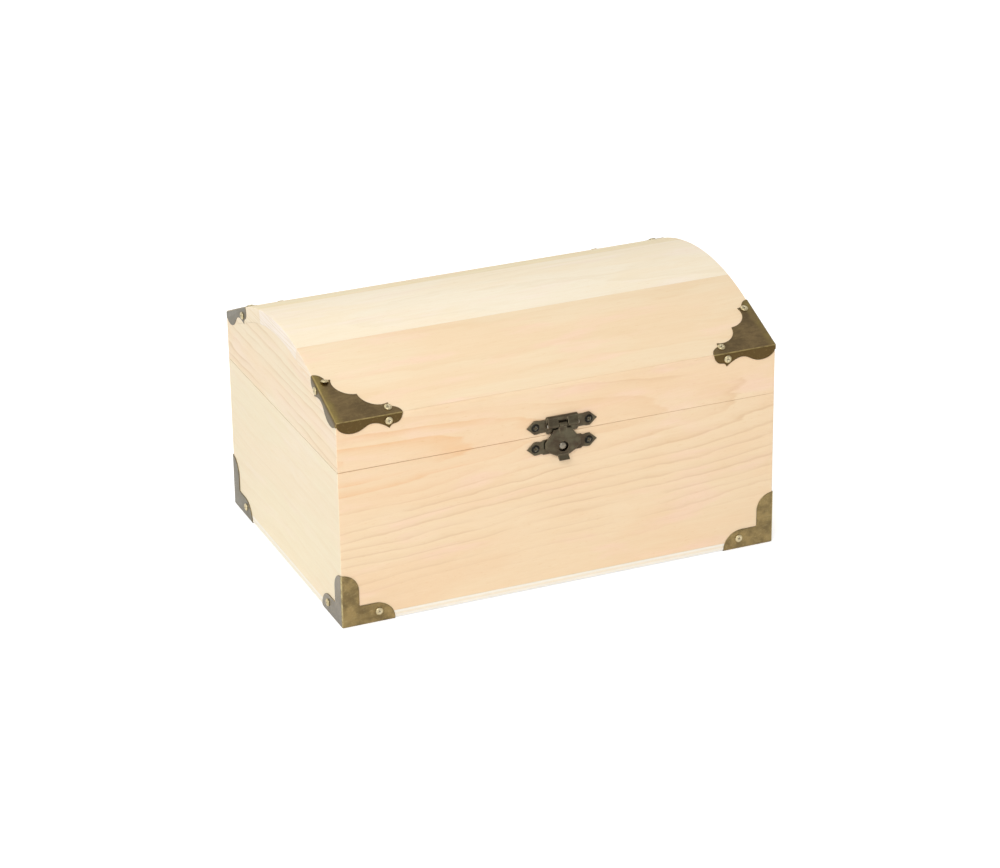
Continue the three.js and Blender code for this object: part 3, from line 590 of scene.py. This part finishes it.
# %% Roof line and staves
def arc(centre, radius, start, stop, count):
    """Points (y, z) of an arc between two angles, with their outward directions."""
    angle = np.linspace(start, stop, count)
    out = np.stack([np.cos(angle), np.sin(angle)], axis=-1)
    return np.array(centre) + radius * out, out


def stave_piece(node, outer, inward, material, ease=0.5 * mm, ease_steps=5):
    """A stave as a rectangle of length and thickness carried along the outer line of the end view.

    outer has the points of that line and inward the points that face them on the inner side. The two
    outer edges at the ends are eased by a quarter round.
    """
    turn = np.linspace(0, math.pi / 2, ease_steps)
    out = outer - inward
    out /= np.linalg.norm(out, axis=1, keepdims=True)
    drop = ease * (1 - np.sin(turn))
    reach = half_length - ease * (1 - np.cos(turn))
    x = np.concatenate([reach, -reach[::-1], [-half_length, half_length]])
    sink = np.concatenate([drop, drop[::-1]])
    top = outer[:, None, :] - sink[None, :, None] * out[:, None, :]
    low = np.repeat(inward[:, None, :], 2, axis=1)
    loop = np.concatenate([top, low], axis=1)
    xs = np.broadcast_to(x[None, :, None], loop.shape[:2] + (1,))
    points = np.concatenate([xs, loop], axis=-1)
    return build_piece(f"smooth_{node}", capped_patches(points), material, node)


def slope_at(side):
    """The slope of the line from a ridge that just touches the crown's circle; side is -1 at the front.

    It is the angle down to the circle's middle, less the angle whose cosine is radius over distance.
    """
    across, drop = half_width - side * lean, crown_radius - rise
    return math.atan2(across, drop) - math.acos(crown_radius / math.hypot(across, drop))


def ridge_rounding(side):
    """The centre of a ridge's round edge and the angle at which the rail ends on it."""
    tilt = slope_at(side)
    centre = (-half_width + ridge_round, ridge - ridge_round * (1 - math.sin(tilt)) / math.cos(tilt))
    return centre, math.pi - math.asin((ridge - centre[1]) / ridge_round)


def inner_arc(start, stop, count):
    """Points of the staves' inner side between two angles of the arched ends."""
    return arc((0, arch_height), arch_radius - stave, start, stop, count)[0]


glue_angle = glue_line / arch_radius
arch_joint = math.pi / 2 + math.asin(joint_reach / arch_radius)
inner_foot = np.array([-half_width + stave / math.sin(slope), ridge])
for node, side, material in (("lid_front_stave", -1, stave_pine), ("lid_back_stave", 1, back_pine)):
    centre, split = ridge_rounding(side)
    touch = math.pi / 2 + slope_at(side)
    joint = math.pi / 2 + math.asin((joint_reach - side * lean) / crown_radius)
    rounding, _ = arc(centre, ridge_round, split, touch, ridge_steps)
    crown, _ = arc((-side * lean, crown_height), crown_radius, touch, joint, crown_steps)
    outer = np.concatenate([rounding, crown])
    inner = inner_arc(math.pi / 2 + slope, arch_joint, crown_steps)
    inner = np.concatenate([np.repeat(inner_foot[None], ridge_steps, axis=0), inner])
    outer[0, 1] = inner[0, 1] = ridge + glue_line
    stave_piece(node, outer * [-side, 1], inner * [-side, 1], material)

front_joint = math.pi / 2 + math.asin((joint_reach + lean) / crown_radius) - glue_angle
back_joint = math.pi / 2 - math.asin((joint_reach - lean) / crown_radius) + glue_angle
outer, _ = arc((lean, crown_height), crown_radius, front_joint, back_joint, centre_steps)
inner = inner_arc(arch_joint - glue_angle, math.pi - arch_joint + glue_angle, centre_steps)
stave_piece("lid_centre_stave", outer, inner, cream_pine)
print("slopes", [round(math.degrees(slope_at(side)), 1) for side in (-1, 1)], "degrees at front and back")
print("three staves")

# %% [markdown]
# The lid's front and back rails are boards whose outer top edge is rounded over to meet the staves. They
# are mitred into the ends, so a rail is its end view carried along, with each point of the view
# stopping where the 45 degree cut passes it. A tiny chamfer eases the corner.


# %% Rails
tighter = 0.16 * mm


def rail_piece(node, side, material, ease=0.4 * mm):
    """A rail of the lid: its end view on four stations along the length, the outer two on the mitres.

    Its lower edge falls by a hair's breadth from left to right, as the lid sits tighter there.
    """
    centre, split = ridge_rounding(side)
    rounding, _ = arc(centre, ridge_round, math.pi, split, ridge_steps)
    view = np.concatenate([
        [[-half_width + wall, ridge], [-half_width + wall, rail_low.z], [-half_width, rail_low.z]],
        rounding,
    ])
    depth = view[:, 0] + half_width
    corner = np.maximum(depth, ease / 2)
    shoulder = np.maximum(depth, ease)
    x = np.stack([corner - half_length, shoulder - half_length, half_length - shoulder,
                  half_length - corner])
    y = np.stack([corner, depth, depth, corner]) - half_width
    low_edge = view[:, 1] == rail_low.z
    z = view[:, 1] - tighter * low_edge * (x + half_length) / (2 * half_length)
    points = np.stack([x, -side * y, z], axis=-1)
    return build_piece(f"smooth_{node}", capped_patches(points), material, node)


rail_piece("lid_front_rail", -1, front_pine)
rail_piece("lid_back_rail", 1, rear_pine)
print("two rails")

# %% [markdown]
# A corner bracket is stamped from one sheet and folded. On the real one, flat faces meet in narrow round
# bends, and at the corner three bends run into a small piece of a ball. So a bracket here is made of
# flat plates with a curved outline, strips that sweep a quarter of a circle along a line, and a patch of
# a ball. The sheet's thickness is added afterwards, inward, and its cut edges are rounded last. On the
# lid's back brackets more of the sheet went into the hanging flanges, and they are screwed down harder,
# so that they stand less proud of the soft wood.

# %% Sheet helpers
sheet = 0.35 * mm
sheet_outer = 0.35 * mm
sheet_sunk = 0.12 * mm
bend = 0.75 * mm
bend_steps = 7
round_steps = 15
cut_round = 0.08 * mm


def turned(first, second):
    """Unit directions on the great circle from one unit vector to another."""
    first, second = np.array(first, float), np.array(second, float)
    whole = math.acos(np.clip(first @ second, -1, 1))
    share = np.linspace(0, 1, bend_steps)[:, None]
    return (np.sin((1 - share) * whole) * first + np.sin(share * whole) * second) / math.sin(whole)


def bend_strip(start, stop, first, second):
    """A round bend along the line from start to stop, from facing first to facing second."""
    out = bend * turned(first, second)
    ends = np.array([start, stop], float)
    return grid_patch(ends[:, None, :] + out[None, :, :])


def ball_patch(centre, first, second, pole):
    """The part of a ball between three facings; pole is square to the other two."""
    round_share = turned(first, second)
    rise = np.linspace(0, math.pi / 2, bend_steps)[:, None, None]
    out = np.cos(rise) * round_share[None] + np.sin(rise) * np.array(pole, float)
    return grid_patch(np.array(centre) + bend * out)


def curve(start, pieces, steps=10):
    """Points of a run of cubic curves; each piece has two handles and an end."""
    t = np.linspace(0, 1, steps + 1)[1:, None]
    runs, here = [np.array([start], float)], np.array(start, float)
    for piece in pieces:
        first, second, end = np.array(piece, float).reshape(3, 2)
        runs.append((1 - t) ** 3 * here + 3 * t * (1 - t) ** 2 * first + 3 * t**2 * (1 - t) * second
                    + t**3 * end)
        here = end
    return np.concatenate(runs)


def folded_piece(name, patches, material, inside):
    """A bracket from its outer skin: the sheet's thickness goes inward and the cut edges are rounded."""
    piece = build_piece(f"folded_{name}", patches, material, name, inside=inside)
    thick = piece.modifiers.new("sheet", "SOLIDIFY")
    thick.thickness = sheet
    thick.offset = -1
    return soften(piece, cut_round)


# The factors of x and y that carry a shape from the front left corner to each corner.
chest_corners = {
    "front_left": (1, 1), "front_right": (-1, 1), "back_left": (1, -1), "back_right": (-1, -1),
}


def four_brackets(kind, patches, finishes, inside):
    """A kind of bracket at each corner, mirrored from the front left.

    patches and finishes are for the front at 1 and for the back at -1, and inside is a point that the
    front left one wraps round.
    """
    for name, (side_x, side_y) in chest_corners.items():
        flip = np.array([side_x, side_y, 1])
        skin = [(points * flip, faces) for points, faces in patches[side_y]]
        folded_piece(f"{kind}_bracket_{name}", skin, finishes[side_y], inside * flip)


left, front, down = (np.array(v, float) for v in ((-1, 0, 0), (0, -1, 0), (0, 0, -1)))
right, back, up = -left, -front, -down
print("sheet helpers ready")

# %% Lid corner brackets
reach = 29.2 * mm
drop = 5.5 * mm
corner_drop = 1.9 * mm
slit = 0.3 * mm
# Runs of the scalloped edges, each with two handles and an end. The flange's are in shares of reach
# along and drop down, and the roof's are one half of its edge in shares of reach.
flange_shares = [
    [0.027, 0.65, 0.116, 1, 0.236, 1],
    [0.336, 1, 0.397, 0.76, 0.459, 0.575],
    [0.548, 0.345, 0.657, 0.47, 0.795, 1.07],
    [0.815, 0.84, 0.842, 0.765, 0.877, 0.76],
    [0.952, 0.745, 0.996, 0.4, 1, -0.06],
]
roof_shares = [
    [1, 0.075, 0.955, 0.115, 0.884, 0.147],
    [0.866, 0.164, 0.856, 0.192, 0.856, 0.226],
    [0.702, 0.158, 0.5, 0.295, 0.491, 0.491],
]
wood_corner = np.array([-half_length, -half_width, ridge])
base_corner = wood_corner * [1, 1, 0]


def roof_directions(tilt):
    """Unit vectors up a slope and square to it, as they are at the front."""
    return np.array([0, math.cos(tilt), math.sin(tilt)]), np.array([0, -math.sin(tilt), math.cos(tilt)])


def lid_bracket_patches(proud, tilt, longer):
    """The roof plate, two hanging flanges, three bends and the ball between them, at the front left.

    proud is the height of the sheet's outside above the wood, tilt the slope that it lies on, and
    longer the extra length of its flanges.
    """
    along_slope, off_slope = roof_directions(tilt)
    inset = bend - proud
    lower = inset * (1 - math.sin(tilt)) / math.cos(tilt)
    centre = wood_corner + [inset, inset, -lower]
    begin = (centre - wood_corner) @ along_slope

    half = curve([reach, 0], np.array(roof_shares) * reach)
    half = np.maximum(half, begin)
    edge = np.concatenate([half, half[::-1, ::-1][1:]])
    edge = np.maximum(edge, [inset, begin])
    edge = np.concatenate([[[inset, begin]], edge])
    roof = plate_patch(
        wood_corner + proud * off_slope - edge[:, :1] * left + edge[:, 1:] * along_slope)

    scale = np.tile([reach, drop], 3)
    free = curve([slit, corner_drop], np.array(flange_shares) * scale) + [0, longer]
    free = np.concatenate([free, [[reach, 0]]])
    hang = np.maximum(free[::-1], [0, lower])
    front_edge = np.stack([
        -half_length + hang[:, 0],
        np.full(len(hang), -half_width - proud),
        ridge - hang[:, 1],
    ], axis=-1)
    front_top = centre + bend * front
    foot = (corner_drop + longer - lower) * down
    front_plate = plate_patch(np.concatenate([[front_top], front_edge, [front_top + foot]]))

    hang = np.maximum(free[::-1], [0, inset])
    end_edge = (wood_corner + proud * left + hang[:, :1] * along_slope - hang[:, 1:] * off_slope)
    end_top = centre + bend * left
    end_plate = plate_patch(np.concatenate([[end_top], end_edge, [end_top + foot]]))

    far_x = centre + (reach - inset) * -left
    far_y = centre + (reach - begin) * along_slope
    return [
        roof, front_plate, end_plate,
        bend_strip(centre, far_x, off_slope, front),
        bend_strip(centre, far_y, off_slope, left),
        bend_strip(centre, centre + foot, front, left),
        ball_patch(centre, off_slope, front, left),
    ]


# How proud a lid bracket stands, its slope and its longer flanges, for the front at 1 and the back at -1.
lid_fit = {1: (sheet_outer, slope_at(-1), 0.0), -1: (sheet_sunk, slope_at(1), 1.2 * mm)}
lid_patches = {side: lid_bracket_patches(*fit) for side, fit in lid_fit.items()}
lid_inside = wood_corner + np.array([6, 6, -3]) * mm
four_brackets("lid", lid_patches, {1: lid_bronze_shaded, -1: back_bronze_shaded}, lid_inside)
print("four lid brackets")

# %% Base corner brackets
foot_length = 23.4 * mm
foot_height = 9.1 * mm
foot_round = 8.8 * mm
foot_tip = 0.9 * mm
upright_width = 7.6 * mm
upright_height = 24.2 * mm
upright_round = 7.8 * mm
inner_round = 0.7 * mm
under_reach = 17 * mm
lip = 1.2 * mm


def base_bracket_patches():
    """Two L-shaped flanges, the plate under the corner, three bends and the ball, at the front left."""
    inset = bend - sheet_outer
    centre = base_corner + [inset, inset, bend]
    quarter = np.linspace(0, math.pi / 2, round_steps)[:, None]
    swing = np.concatenate([np.cos(quarter), np.sin(quarter)], axis=1)
    foot_curve = swing * [foot_round, foot_height - foot_tip] + [foot_length - foot_round, foot_tip]
    hollow = np.array([upright_width, foot_height]) + inner_round * (1 - swing[::-3])
    top_curve = np.array([upright_width - upright_round, upright_height - upright_round])
    top_curve = top_curve + upright_round * swing
    outline = np.concatenate([[[foot_length, bend]], foot_curve, hollow, top_curve])
    outline = np.maximum(outline, [inset, bend])
    outline = np.concatenate([[[inset, bend]], outline])
    front_plate = base_corner + sheet_outer * front + outline[:, :1] * right + outline[:, 1:] * up
    end_plate = base_corner + sheet_outer * left + outline[:, :1] * back + outline[:, 1:] * up

    wide = under_reach * np.sqrt(1 - (lip / under_reach) ** 2)
    sweep = np.linspace(math.asin(lip / under_reach), math.acos(lip / under_reach), round_steps)[:, None]
    disc = under_reach * np.concatenate([np.cos(sweep), np.sin(sweep)], axis=1)
    tips = [[inset, inset], [foot_length, inset], [foot_length, lip], [wide, lip]]
    ends = [[lip, wide], [lip, foot_length], [inset, foot_length]]
    under = np.concatenate([tips, disc[1:-1], ends])
    under_plate = base_corner + under[:, :1] * right + under[:, 1:] * back

    run = foot_length - inset
    top = np.array([0, 0, outline[:, 1].max() - bend])
    return [
        plate_patch(front_plate), plate_patch(end_plate), plate_patch(under_plate),
        bend_strip(centre, centre + top, front, left),
        bend_strip(centre, centre + [run, 0, 0], down, front),
        bend_strip(centre, centre + [0, run, 0], down, left),
        ball_patch(centre, down, front, left),
    ]


base_patches = base_bracket_patches()
base_inside = base_corner + np.array([6, 6, 8]) * mm
four_brackets("base", {1: base_patches, -1: base_patches}, {1: bronze, -1: back_bronze_shaded}, base_inside)
print("four base brackets")

# %% [markdown]
# Every fitting is held by small screws with domed heads and a cross recess. A head is a lathe shape with
# the cross pressed in: its height falls from the dome by the depth of the recess wherever a point lies
# within either bar of the cross. The side of the recess is a short smooth step, as a punch leaves it.
# The same measure is kept on the points as an attribute, so that the material can paint shade into the
# cross there; on the dark steel heads that colour is paler, as dust.

# %% Screws
head_radius = 1.7 * mm
head_height = 0.85 * mm
head_rim = 0.25 * mm
dome_steps = 30
recess_width = 0.54 * mm
recess_length = 1.7 * mm
recess_depth = 0.34 * mm
recess_edge = 0.06 * mm


def smooth_step(value, low, high):
    """0 below low and 1 above high; between them, three squares less two cubes of the share passed."""
    share = np.clip((value - low) / (high - low), 0, 1)
    return share * share * (3 - 2 * share)


def cross_share(x, y):
    """1 within either bar of the cross, 0 outside both, and a smooth step at their edges."""
    bars = []
    for across, along in ((x, y), (y, x)):
        in_width = smooth_step(recess_width / 2 - np.abs(across), -recess_edge, recess_edge)
        in_length = smooth_step(recess_length / 2 - np.abs(along), -recess_edge, recess_edge)
        bars.append(in_width * in_length)
    return np.maximum(*bars)


def head_surface(size, columns=96):
    """Grid of a screw's head, from the middle of its top over the rim to the middle of its underside.

    The height is the rim's, plus the dome's times the root of one less the squared share of the radius,
    less the recess's depth times the share of the cross.
    """
    dome = np.linspace(0, 1, dome_steps)
    radius = np.concatenate([dome, [1.0, 0.97, 0.0]]) * head_radius * size
    height = head_rim + (head_height - head_rim) * np.sqrt(1 - dome**2)
    height = np.concatenate([height, [0.04 * mm, 0, 0]])
    angle = np.linspace(0, 2 * math.pi, columns, endpoint=False)
    x, y = radius[:, None] * np.cos(angle), radius[:, None] * np.sin(angle)
    cross = cross_share(x, y) * (np.arange(len(radius)) < dome_steps)[:, None]
    return np.stack([x, y, height[:, None] - recess_depth * cross], axis=-1)


def screw_piece(node, seat, out, material, turn, size=1.0):
    """A head that sits on seat and looks along out, with its cross turned by an angle."""
    out = np.array(out, float)
    side = np.cross(out, [0.3, 0.2, 0.93])
    side /= np.linalg.norm(side)
    other = np.cross(out, side)
    first = math.cos(turn) * side + math.sin(turn) * other
    second = np.cross(out, first)
    head = head_surface(size)
    points = seat + head[..., :1] * first + head[..., 1:2] * second + head[..., 2:] * out
    piece = build_piece(f"head_{node}", [grid_patch(points, ring=True)], material, node, smooth=60.0)
    places = np.empty((len(piece.data.vertices), 3), np.float32)
    piece.data.vertices.foreach_get("co", places.ravel())
    places = places - seat
    share = cross_share(places @ first, places @ second) * (places @ out > head_rim)
    piece.data.attributes.new("recess", "FLOAT", "POINT").data.foreach_set("value", share)
    return piece


flange_along, flange_down = 0.784 * reach, 0.455 * drop
roof_along, roof_across = 0.825 * reach, 0.13 * reach
base_along, base_high = 16.2 * mm, 5 * mm


def corner_screws(proud, tilt, longer):
    """The seat and the facing of each screw at the front left, for a lid bracket's fit.

    On longer flanges the screws sit lower, and the roof's ones are driven in deeper.
    """
    along_slope, off_slope = roof_directions(tilt)
    screw_down = flange_down + 0.8 * longer
    lid_end = wood_corner + flange_along * along_slope - screw_down * off_slope
    lid_face = wood_corner + flange_along * right + screw_down * down
    roof = wood_corner + (proud - 0.25 * longer) * off_slope
    base_end = base_corner + base_along * back + base_high * up
    base_face = base_corner + base_along * right + base_high * up
    return {
        "base_screw_{}_face": (base_face + sheet_outer * front, front),
        "base_screw_{}_end": (base_end + sheet_outer * left, left),
        "lid_screw_{}_face": (lid_face + proud * front, front),
        "lid_screw_{}_end": (lid_end + proud * left, left),
        "lid_screw_{}_roof_low": (roof + roof_along * right + roof_across * along_slope, off_slope),
        "lid_screw_{}_roof_high": (roof + roof_across * right + roof_along * along_slope, off_slope),
    }


# One screw went in at a slant, which lifts the near side of its head.
slanted = {"lid_screw_front_left_roof_high": np.array([0.05, 0.52, 0.2])}
slant_lift = 0.25 * mm
turn_step = 0.7
screw_count = 0
for corner, (side_x, side_y) in chest_corners.items():
    for pattern, (seat, out) in corner_screws(*lid_fit[side_y]).items():
        node = pattern.format(corner)
        flip = np.array([side_x, side_y, 1])
        facing = out * flip + slanted.get(node, 0)
        facing /= np.linalg.norm(facing)
        seat = seat + (slant_lift * out if node in slanted else 0)
        screw_count += 1
        screw_piece(node, seat * flip, facing, brass, screw_count * turn_step)

half_gap = 0.15 * mm
seam = rim + half_gap
plate_heights = {"upper": seam + 4.3 * mm, "lower": seam - 5.3 * mm}
plate_screw_reach = 12.2 * mm
for level, height in plate_heights.items():
    for name, side in (("left", -1), ("right", 1)):
        screw_count += 1
        seat = np.array([side * plate_screw_reach, -half_width - sheet_outer, height])
        turn = screw_count * turn_step
        screw_piece(f"hasp_screw_{level}_{name}", seat, front, steel, turn, size=1.12)
print(screw_count, "screws")

# %% [markdown]
# The hasp. On the real chest an arrow-ended plate is rolled at its top round a pin, a shield-shaped flap
# hangs from the pin, and a second arrow-ended plate carries a rivet that the flap's round window drops
# over. The plates are outlines with a thickness, the rolled part is its end view carried along, and the
# flap is a ring of sheet between its window and its outline, with the rim pressed back a little.


# %% Hasp helpers
def sheet_patches(outline, high, front_y, back_y):
    """A flat sheet that stands upright: an outline of (x, z) points round a height, at two depths."""
    x, z = outline[:, 0], outline[:, 1] + high
    rings = np.stack([np.stack([x, np.full_like(x, y), z], axis=-1) for y in (front_y, back_y)])
    return capped_patches(rings)


def bar_patches(view, start, stop):
    """A bar along x whose end view is a closed run of (y, z) points."""
    rings = np.stack([np.insert(view, 0, x, axis=1) for x in (start, stop)])
    return capped_patches(rings)


def arrow_outline(block_length, block_height):
    """A bar with arrow points and a taller block in the middle, from a quarter and its mirror images."""
    quarter = np.array([
        [16, 0], [15.2, 0.7], [12.7, 3], [11.3, 3], [9.95, 2.75], [block_length + 0.3, 2.75],
        [block_length - 0.3, block_height],
    ]) * mm
    top = np.concatenate([quarter, quarter[::-1] * [-1, 1]])
    return np.concatenate([top, top[1:-1][::-1] * [1, -1]])


pin_height = plate_heights["upper"]
pin_y = -half_width - 1.35 * mm
plate_front, plate_back = -half_width - 0.7 * mm, -half_width - 0.1 * mm
plate_round = 0.12 * mm

# %% Hasp plates
curl, loop, tongue, roll_end = 0.6 * mm, 1.25 * mm, 2.15 * mm, 6.9 * mm
curl_middle = np.array([plate_front, pin_height + 3.15 * mm])
curl_arc, _ = arc(curl_middle, curl, math.radians(80), math.radians(200), 7)
loop_arc, _ = arc((pin_y, pin_height), loop, math.radians(155), math.radians(270), 13)
foot = [[plate_back, pin_height - loop], [plate_back, curl_arc[0, 1]]]
roll = np.concatenate([curl_arc, loop_arc, foot])
slit_top = pin_height + 1.8 * mm
top = [[plate_front - curl, slit_top], [plate_back, slit_top], [plate_back, curl_arc[0, 1]]]
hinge_patches = [
    *sheet_patches(arrow_outline(7.2, 3.75), pin_height, plate_front, plate_back),
    *bar_patches(roll, -roll_end, -tongue),
    *bar_patches(roll, tongue, roll_end),
    *bar_patches(np.concatenate([curl_arc, top]), -tongue, tongue),
]
soften(build_piece("smooth_hasp_hinge_plate", hinge_patches, gunmetal, "hasp_hinge_plate"), plate_round)
catch = sheet_patches(arrow_outline(9.0, 3.3), plate_heights["lower"], plate_front, plate_back)
soften(build_piece("smooth_hasp_catch_plate", catch, gunmetal, "hasp_catch_plate"), plate_round)

nub_radius, nub_rise, nub_height = 2.0 * mm, 1.25 * mm, pin_height - 10 * mm
nub_rings, nub_columns = 13, 48
around = np.linspace(0, 2 * math.pi, nub_columns, endpoint=False)
dome = np.linspace(0, math.pi / 2, nub_rings)[:, None]
nub = np.stack([
    nub_radius * np.cos(dome) * np.cos(around),
    np.broadcast_to(plate_front - nub_rise * np.sin(dome), (nub_rings, nub_columns)),
    nub_height + nub_radius * np.cos(dome) * np.sin(around),
], axis=-1)
rivet = add_piece("catch_rivet", [grid_patch(nub, ring=True), plate_patch(nub[0])], rivet_steel, "base")

# The pin's ends are hammered into small heads.
round_turn = (0, 2 * math.pi, 25)
head_ring = arc((pin_y, pin_height), 0.95 * mm, *round_turn)[0][:-1]
pin_ends = [
    *bar_patches(head_ring, -roll_end - 0.4 * mm, -roll_end + 0.1 * mm),
    *bar_patches(head_ring, roll_end - 0.1 * mm, roll_end + 0.4 * mm),
]
pin_heads = add_piece("hasp_pin_heads", pin_ends, rivet_steel, "lid")
soften(pin_heads, 0.15 * mm)
print("hinge plate, catch plate, rivet and pin heads")

# %% Hasp flap
flap_side = np.array([
    [1.9, 1.0], [1.9, 1.9], [4.2, 2.1], [4.7, 3.4], [6.4, 5.6], [8.1, 7.6], [8.1, 10.4], [5.6, 12.6],
    [2.8, 14.2],
]) * mm
flap_line = np.concatenate([flap_side, flap_side[::-1] * [-1, 1]])
side_steps, sheet_steps = 6, 7
steps = np.linspace(0, 1, side_steps, endpoint=False)[None, :, None]
runs = flap_line[:, None] * (1 - steps) + np.roll(flap_line, -1, axis=0)[:, None] * steps
flap_rim = runs.reshape(-1, 2) * [1, -1] + [0, pin_height]
window = np.array([0, nub_height])
from_window = flap_rim - window
window_radius = 2.3 * mm
hole = window + window_radius * from_window / np.linalg.norm(from_window, axis=1, keepdims=True)
share = np.linspace(0, 1, sheet_steps)[:, None]
flat = hole[None] * (1 - share[..., None]) + flap_rim[None] * share[..., None]
pressed_back = 0.6 * mm * share**2
flap_front, flap_back = -half_width - 2.15 * mm, -half_width - 1.5 * mm
faces = [
    np.insert(flat, 1, flap_front + pressed_back, axis=2),
    np.insert(flat, 1, flap_back + pressed_back, axis=2)[::-1],
]
shell = np.concatenate([*faces, faces[0][:1]])
barrel = arc((pin_y, pin_height), 1.1 * mm, *round_turn)[0][:-1]
tab_top, tab_foot = pin_height - 13.6 * mm, pin_height - 15.9 * mm
tab = np.array([
    [flap_back, tab_top], [flap_front, tab_top], [flap_front, tab_top - 0.6 * mm],
    [flap_front - 1.4 * mm, tab_foot + 0.3 * mm], [flap_front - 1.05 * mm, tab_foot],
    [flap_back, tab_top - 0.9 * mm],
])
flap_patches = [
    grid_patch(shell, ring=True),
    *bar_patches(barrel, -1.9 * mm, 1.9 * mm),
    *bar_patches(tab, -2.4 * mm, 2.4 * mm),
]
soften(build_piece("smooth_hasp_flap", flap_patches, gunmetal, "hasp_flap"), plate_round)
print("flap")

# %% [markdown]
# The back hinges and the hasp's pin keep their CAD outline. A copy of each is merged back from triangles
# into whole faces, and its edges are rounded.


# %% Hinges and pin
def soft_copy(node, material, width, smooth=38.0, weld=0.005 * mm, flat=0.5):
    """A copy of a CAD piece with whole flat faces, smooth rounds and softened edges.

    Faces that differ by less than flat, in degrees, become one.
    """
    work = bmesh.new()
    work.from_mesh(nodes[node].data)
    bmesh.ops.remove_doubles(work, verts=work.verts, dist=weld)
    bmesh.ops.dissolve_limit(work, angle_limit=math.radians(flat), verts=work.verts, edges=work.edges)
    mesh = bpy.data.meshes.new(f"soft_{node}")
    piece = shaded_object(f"soft_{node}", mesh, work, material, smooth)
    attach(piece, nodes[node]["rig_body"])
    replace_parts(piece, node)
    return soften(piece, width)


for node in sorted(nodes):
    if node.startswith("hinge") or node == "hasp_pin":
        soft_copy(node, finish_of(node), 0.1 * mm)
print("hinges and pin softened")

# %% [markdown]
# The chest stands on a plain white floor. The floor takes the chest's soft shadow, and a faint glow that
# only the camera and mirrors see carries it to white, without adding any light to the chest itself.


# %% Floor
def seen_by_eye_and_mirror(desk):
    """1 for rays from the camera, off metal and through glass, and 0 for the rest."""
    rays = desk.add("ShaderNodeLightPath").outputs
    seen = desk.math("MAXIMUM", rays["Is Camera Ray"], rays["Is Glossy Ray"])
    return desk.math("MAXIMUM", rays["Is Transmission Ray"], seen)


floor_reach = 6.0
floor_glow = 0.50
floor_desk = new_desk("white_floor")
matte = floor_desk.add("ShaderNodeBsdfDiffuse", {"Color": (0.86, 0.86, 0.86, 1)})
glow_share = floor_desk.math("MULTIPLY", seen_by_eye_and_mirror(floor_desk), floor_glow)
glow = floor_desk.add("ShaderNodeEmission", {"Color": (1, 1, 1, 1), "Strength": glow_share})
both = floor_desk.add("ShaderNodeAddShader", {0: matte.outputs[0], 1: glow.outputs[0]})
floor_desk.add("ShaderNodeOutputMaterial", {"Surface": both.outputs[0]})

floor_mesh = bpy.data.meshes.new("floor")
corners = [(x * floor_reach, y * floor_reach, 0) for x, y in ((-1, -1), (1, -1), (1, 1), (-1, 1))]
floor_mesh.from_pydata(corners, [], [(0, 1, 2, 3)])
floor = new_object("floor", floor_mesh)
dress(floor, floor_desk.owner)
print("floor reaches", floor_reach, "m each way")

# %% [markdown]
# Soft studio light: a bright surround that dims towards the ceiling, and two large panels. The camera
# and the metal see the surround as plain white. Large lights give soft shadows and calm highlights.

# %% Surround
wall_light, wall_height = 0.84, 0.05
ceiling_light, ceiling_height = 0.62, 0.85
surround = bpy.data.worlds.new("studio_surround")
bpy.context.scene.world = surround
sky = Desk(surround)
looking = sky.parts(sky.add("ShaderNodeTexCoord").outputs["Generated"])
dimming = sky.add("ShaderNodeMapRange", {
    "Value": looking[2], "From Min": wall_height, "From Max": ceiling_height,
    "To Min": wall_light, "To Max": ceiling_light,
}).outputs[0]
brightness = sky.add("ShaderNodeMix", {"Factor": seen_by_eye_and_mirror(sky), "A": dimming, "B": 1.0})
backdrop = sky.add("ShaderNodeBackground", {"Strength": brightness.outputs[0]})
sky.add("ShaderNodeOutputWorld", {"Surface": backdrop.outputs[0]})
print("surround from", wall_light, "at the walls to", ceiling_light, "overhead")


# %% Light panels
def panel(name, place, size, power):
    """A square area light at place, turned to face the middle of the chest."""
    light = bpy.data.lights.new(name, "AREA")
    light.shape = "SQUARE"
    light.size = size
    light.energy = power
    lamp = new_object(name, light)
    lamp.location = place
    middle = Vector((0, 0, ridge / 2))
    lamp.rotation_euler = (middle - Vector(place)).to_track_quat("-Z", "Y").to_euler()
    return lamp


panel("key_panel", (-0.95, -1.3, 1.3), size=1.2, power=20.5)
panel("back_panel", (-0.4, 0.8, 1.5), size=1.0, power=5.5)
print("two panels")

# %% [markdown]
# The camera stands where the photographer stood: to the left of the chest's front, looking down by
# about 24 degrees, from a little under a metre and a half away through a long lens.

# %% Camera
camera_place = Vector((-522.3, -1239.9, 638.1)) * mm
camera_aim = Vector((0.8, 0, 42.5)) * mm
camera_lens = 120.83
camera_tilt = math.radians(0.80)
camera_data = bpy.data.cameras.new("camera")
camera_data.sensor_width = 36
camera_data.lens = camera_lens
camera = new_object("camera", camera_data)
camera.location = camera_place
look = (camera_aim - camera_place).to_track_quat("-Z", "Y")
camera.rotation_mode = "QUATERNION"
camera.rotation_quaternion = look @ Matrix.Rotation(-camera_tilt, 3, "Z").to_quaternion()
bpy.context.scene.camera = camera
bpy.context.scene.view_settings.view_transform = "Standard"
print("camera", [round(x, 3) for x in camera_place], "lens", camera_lens)
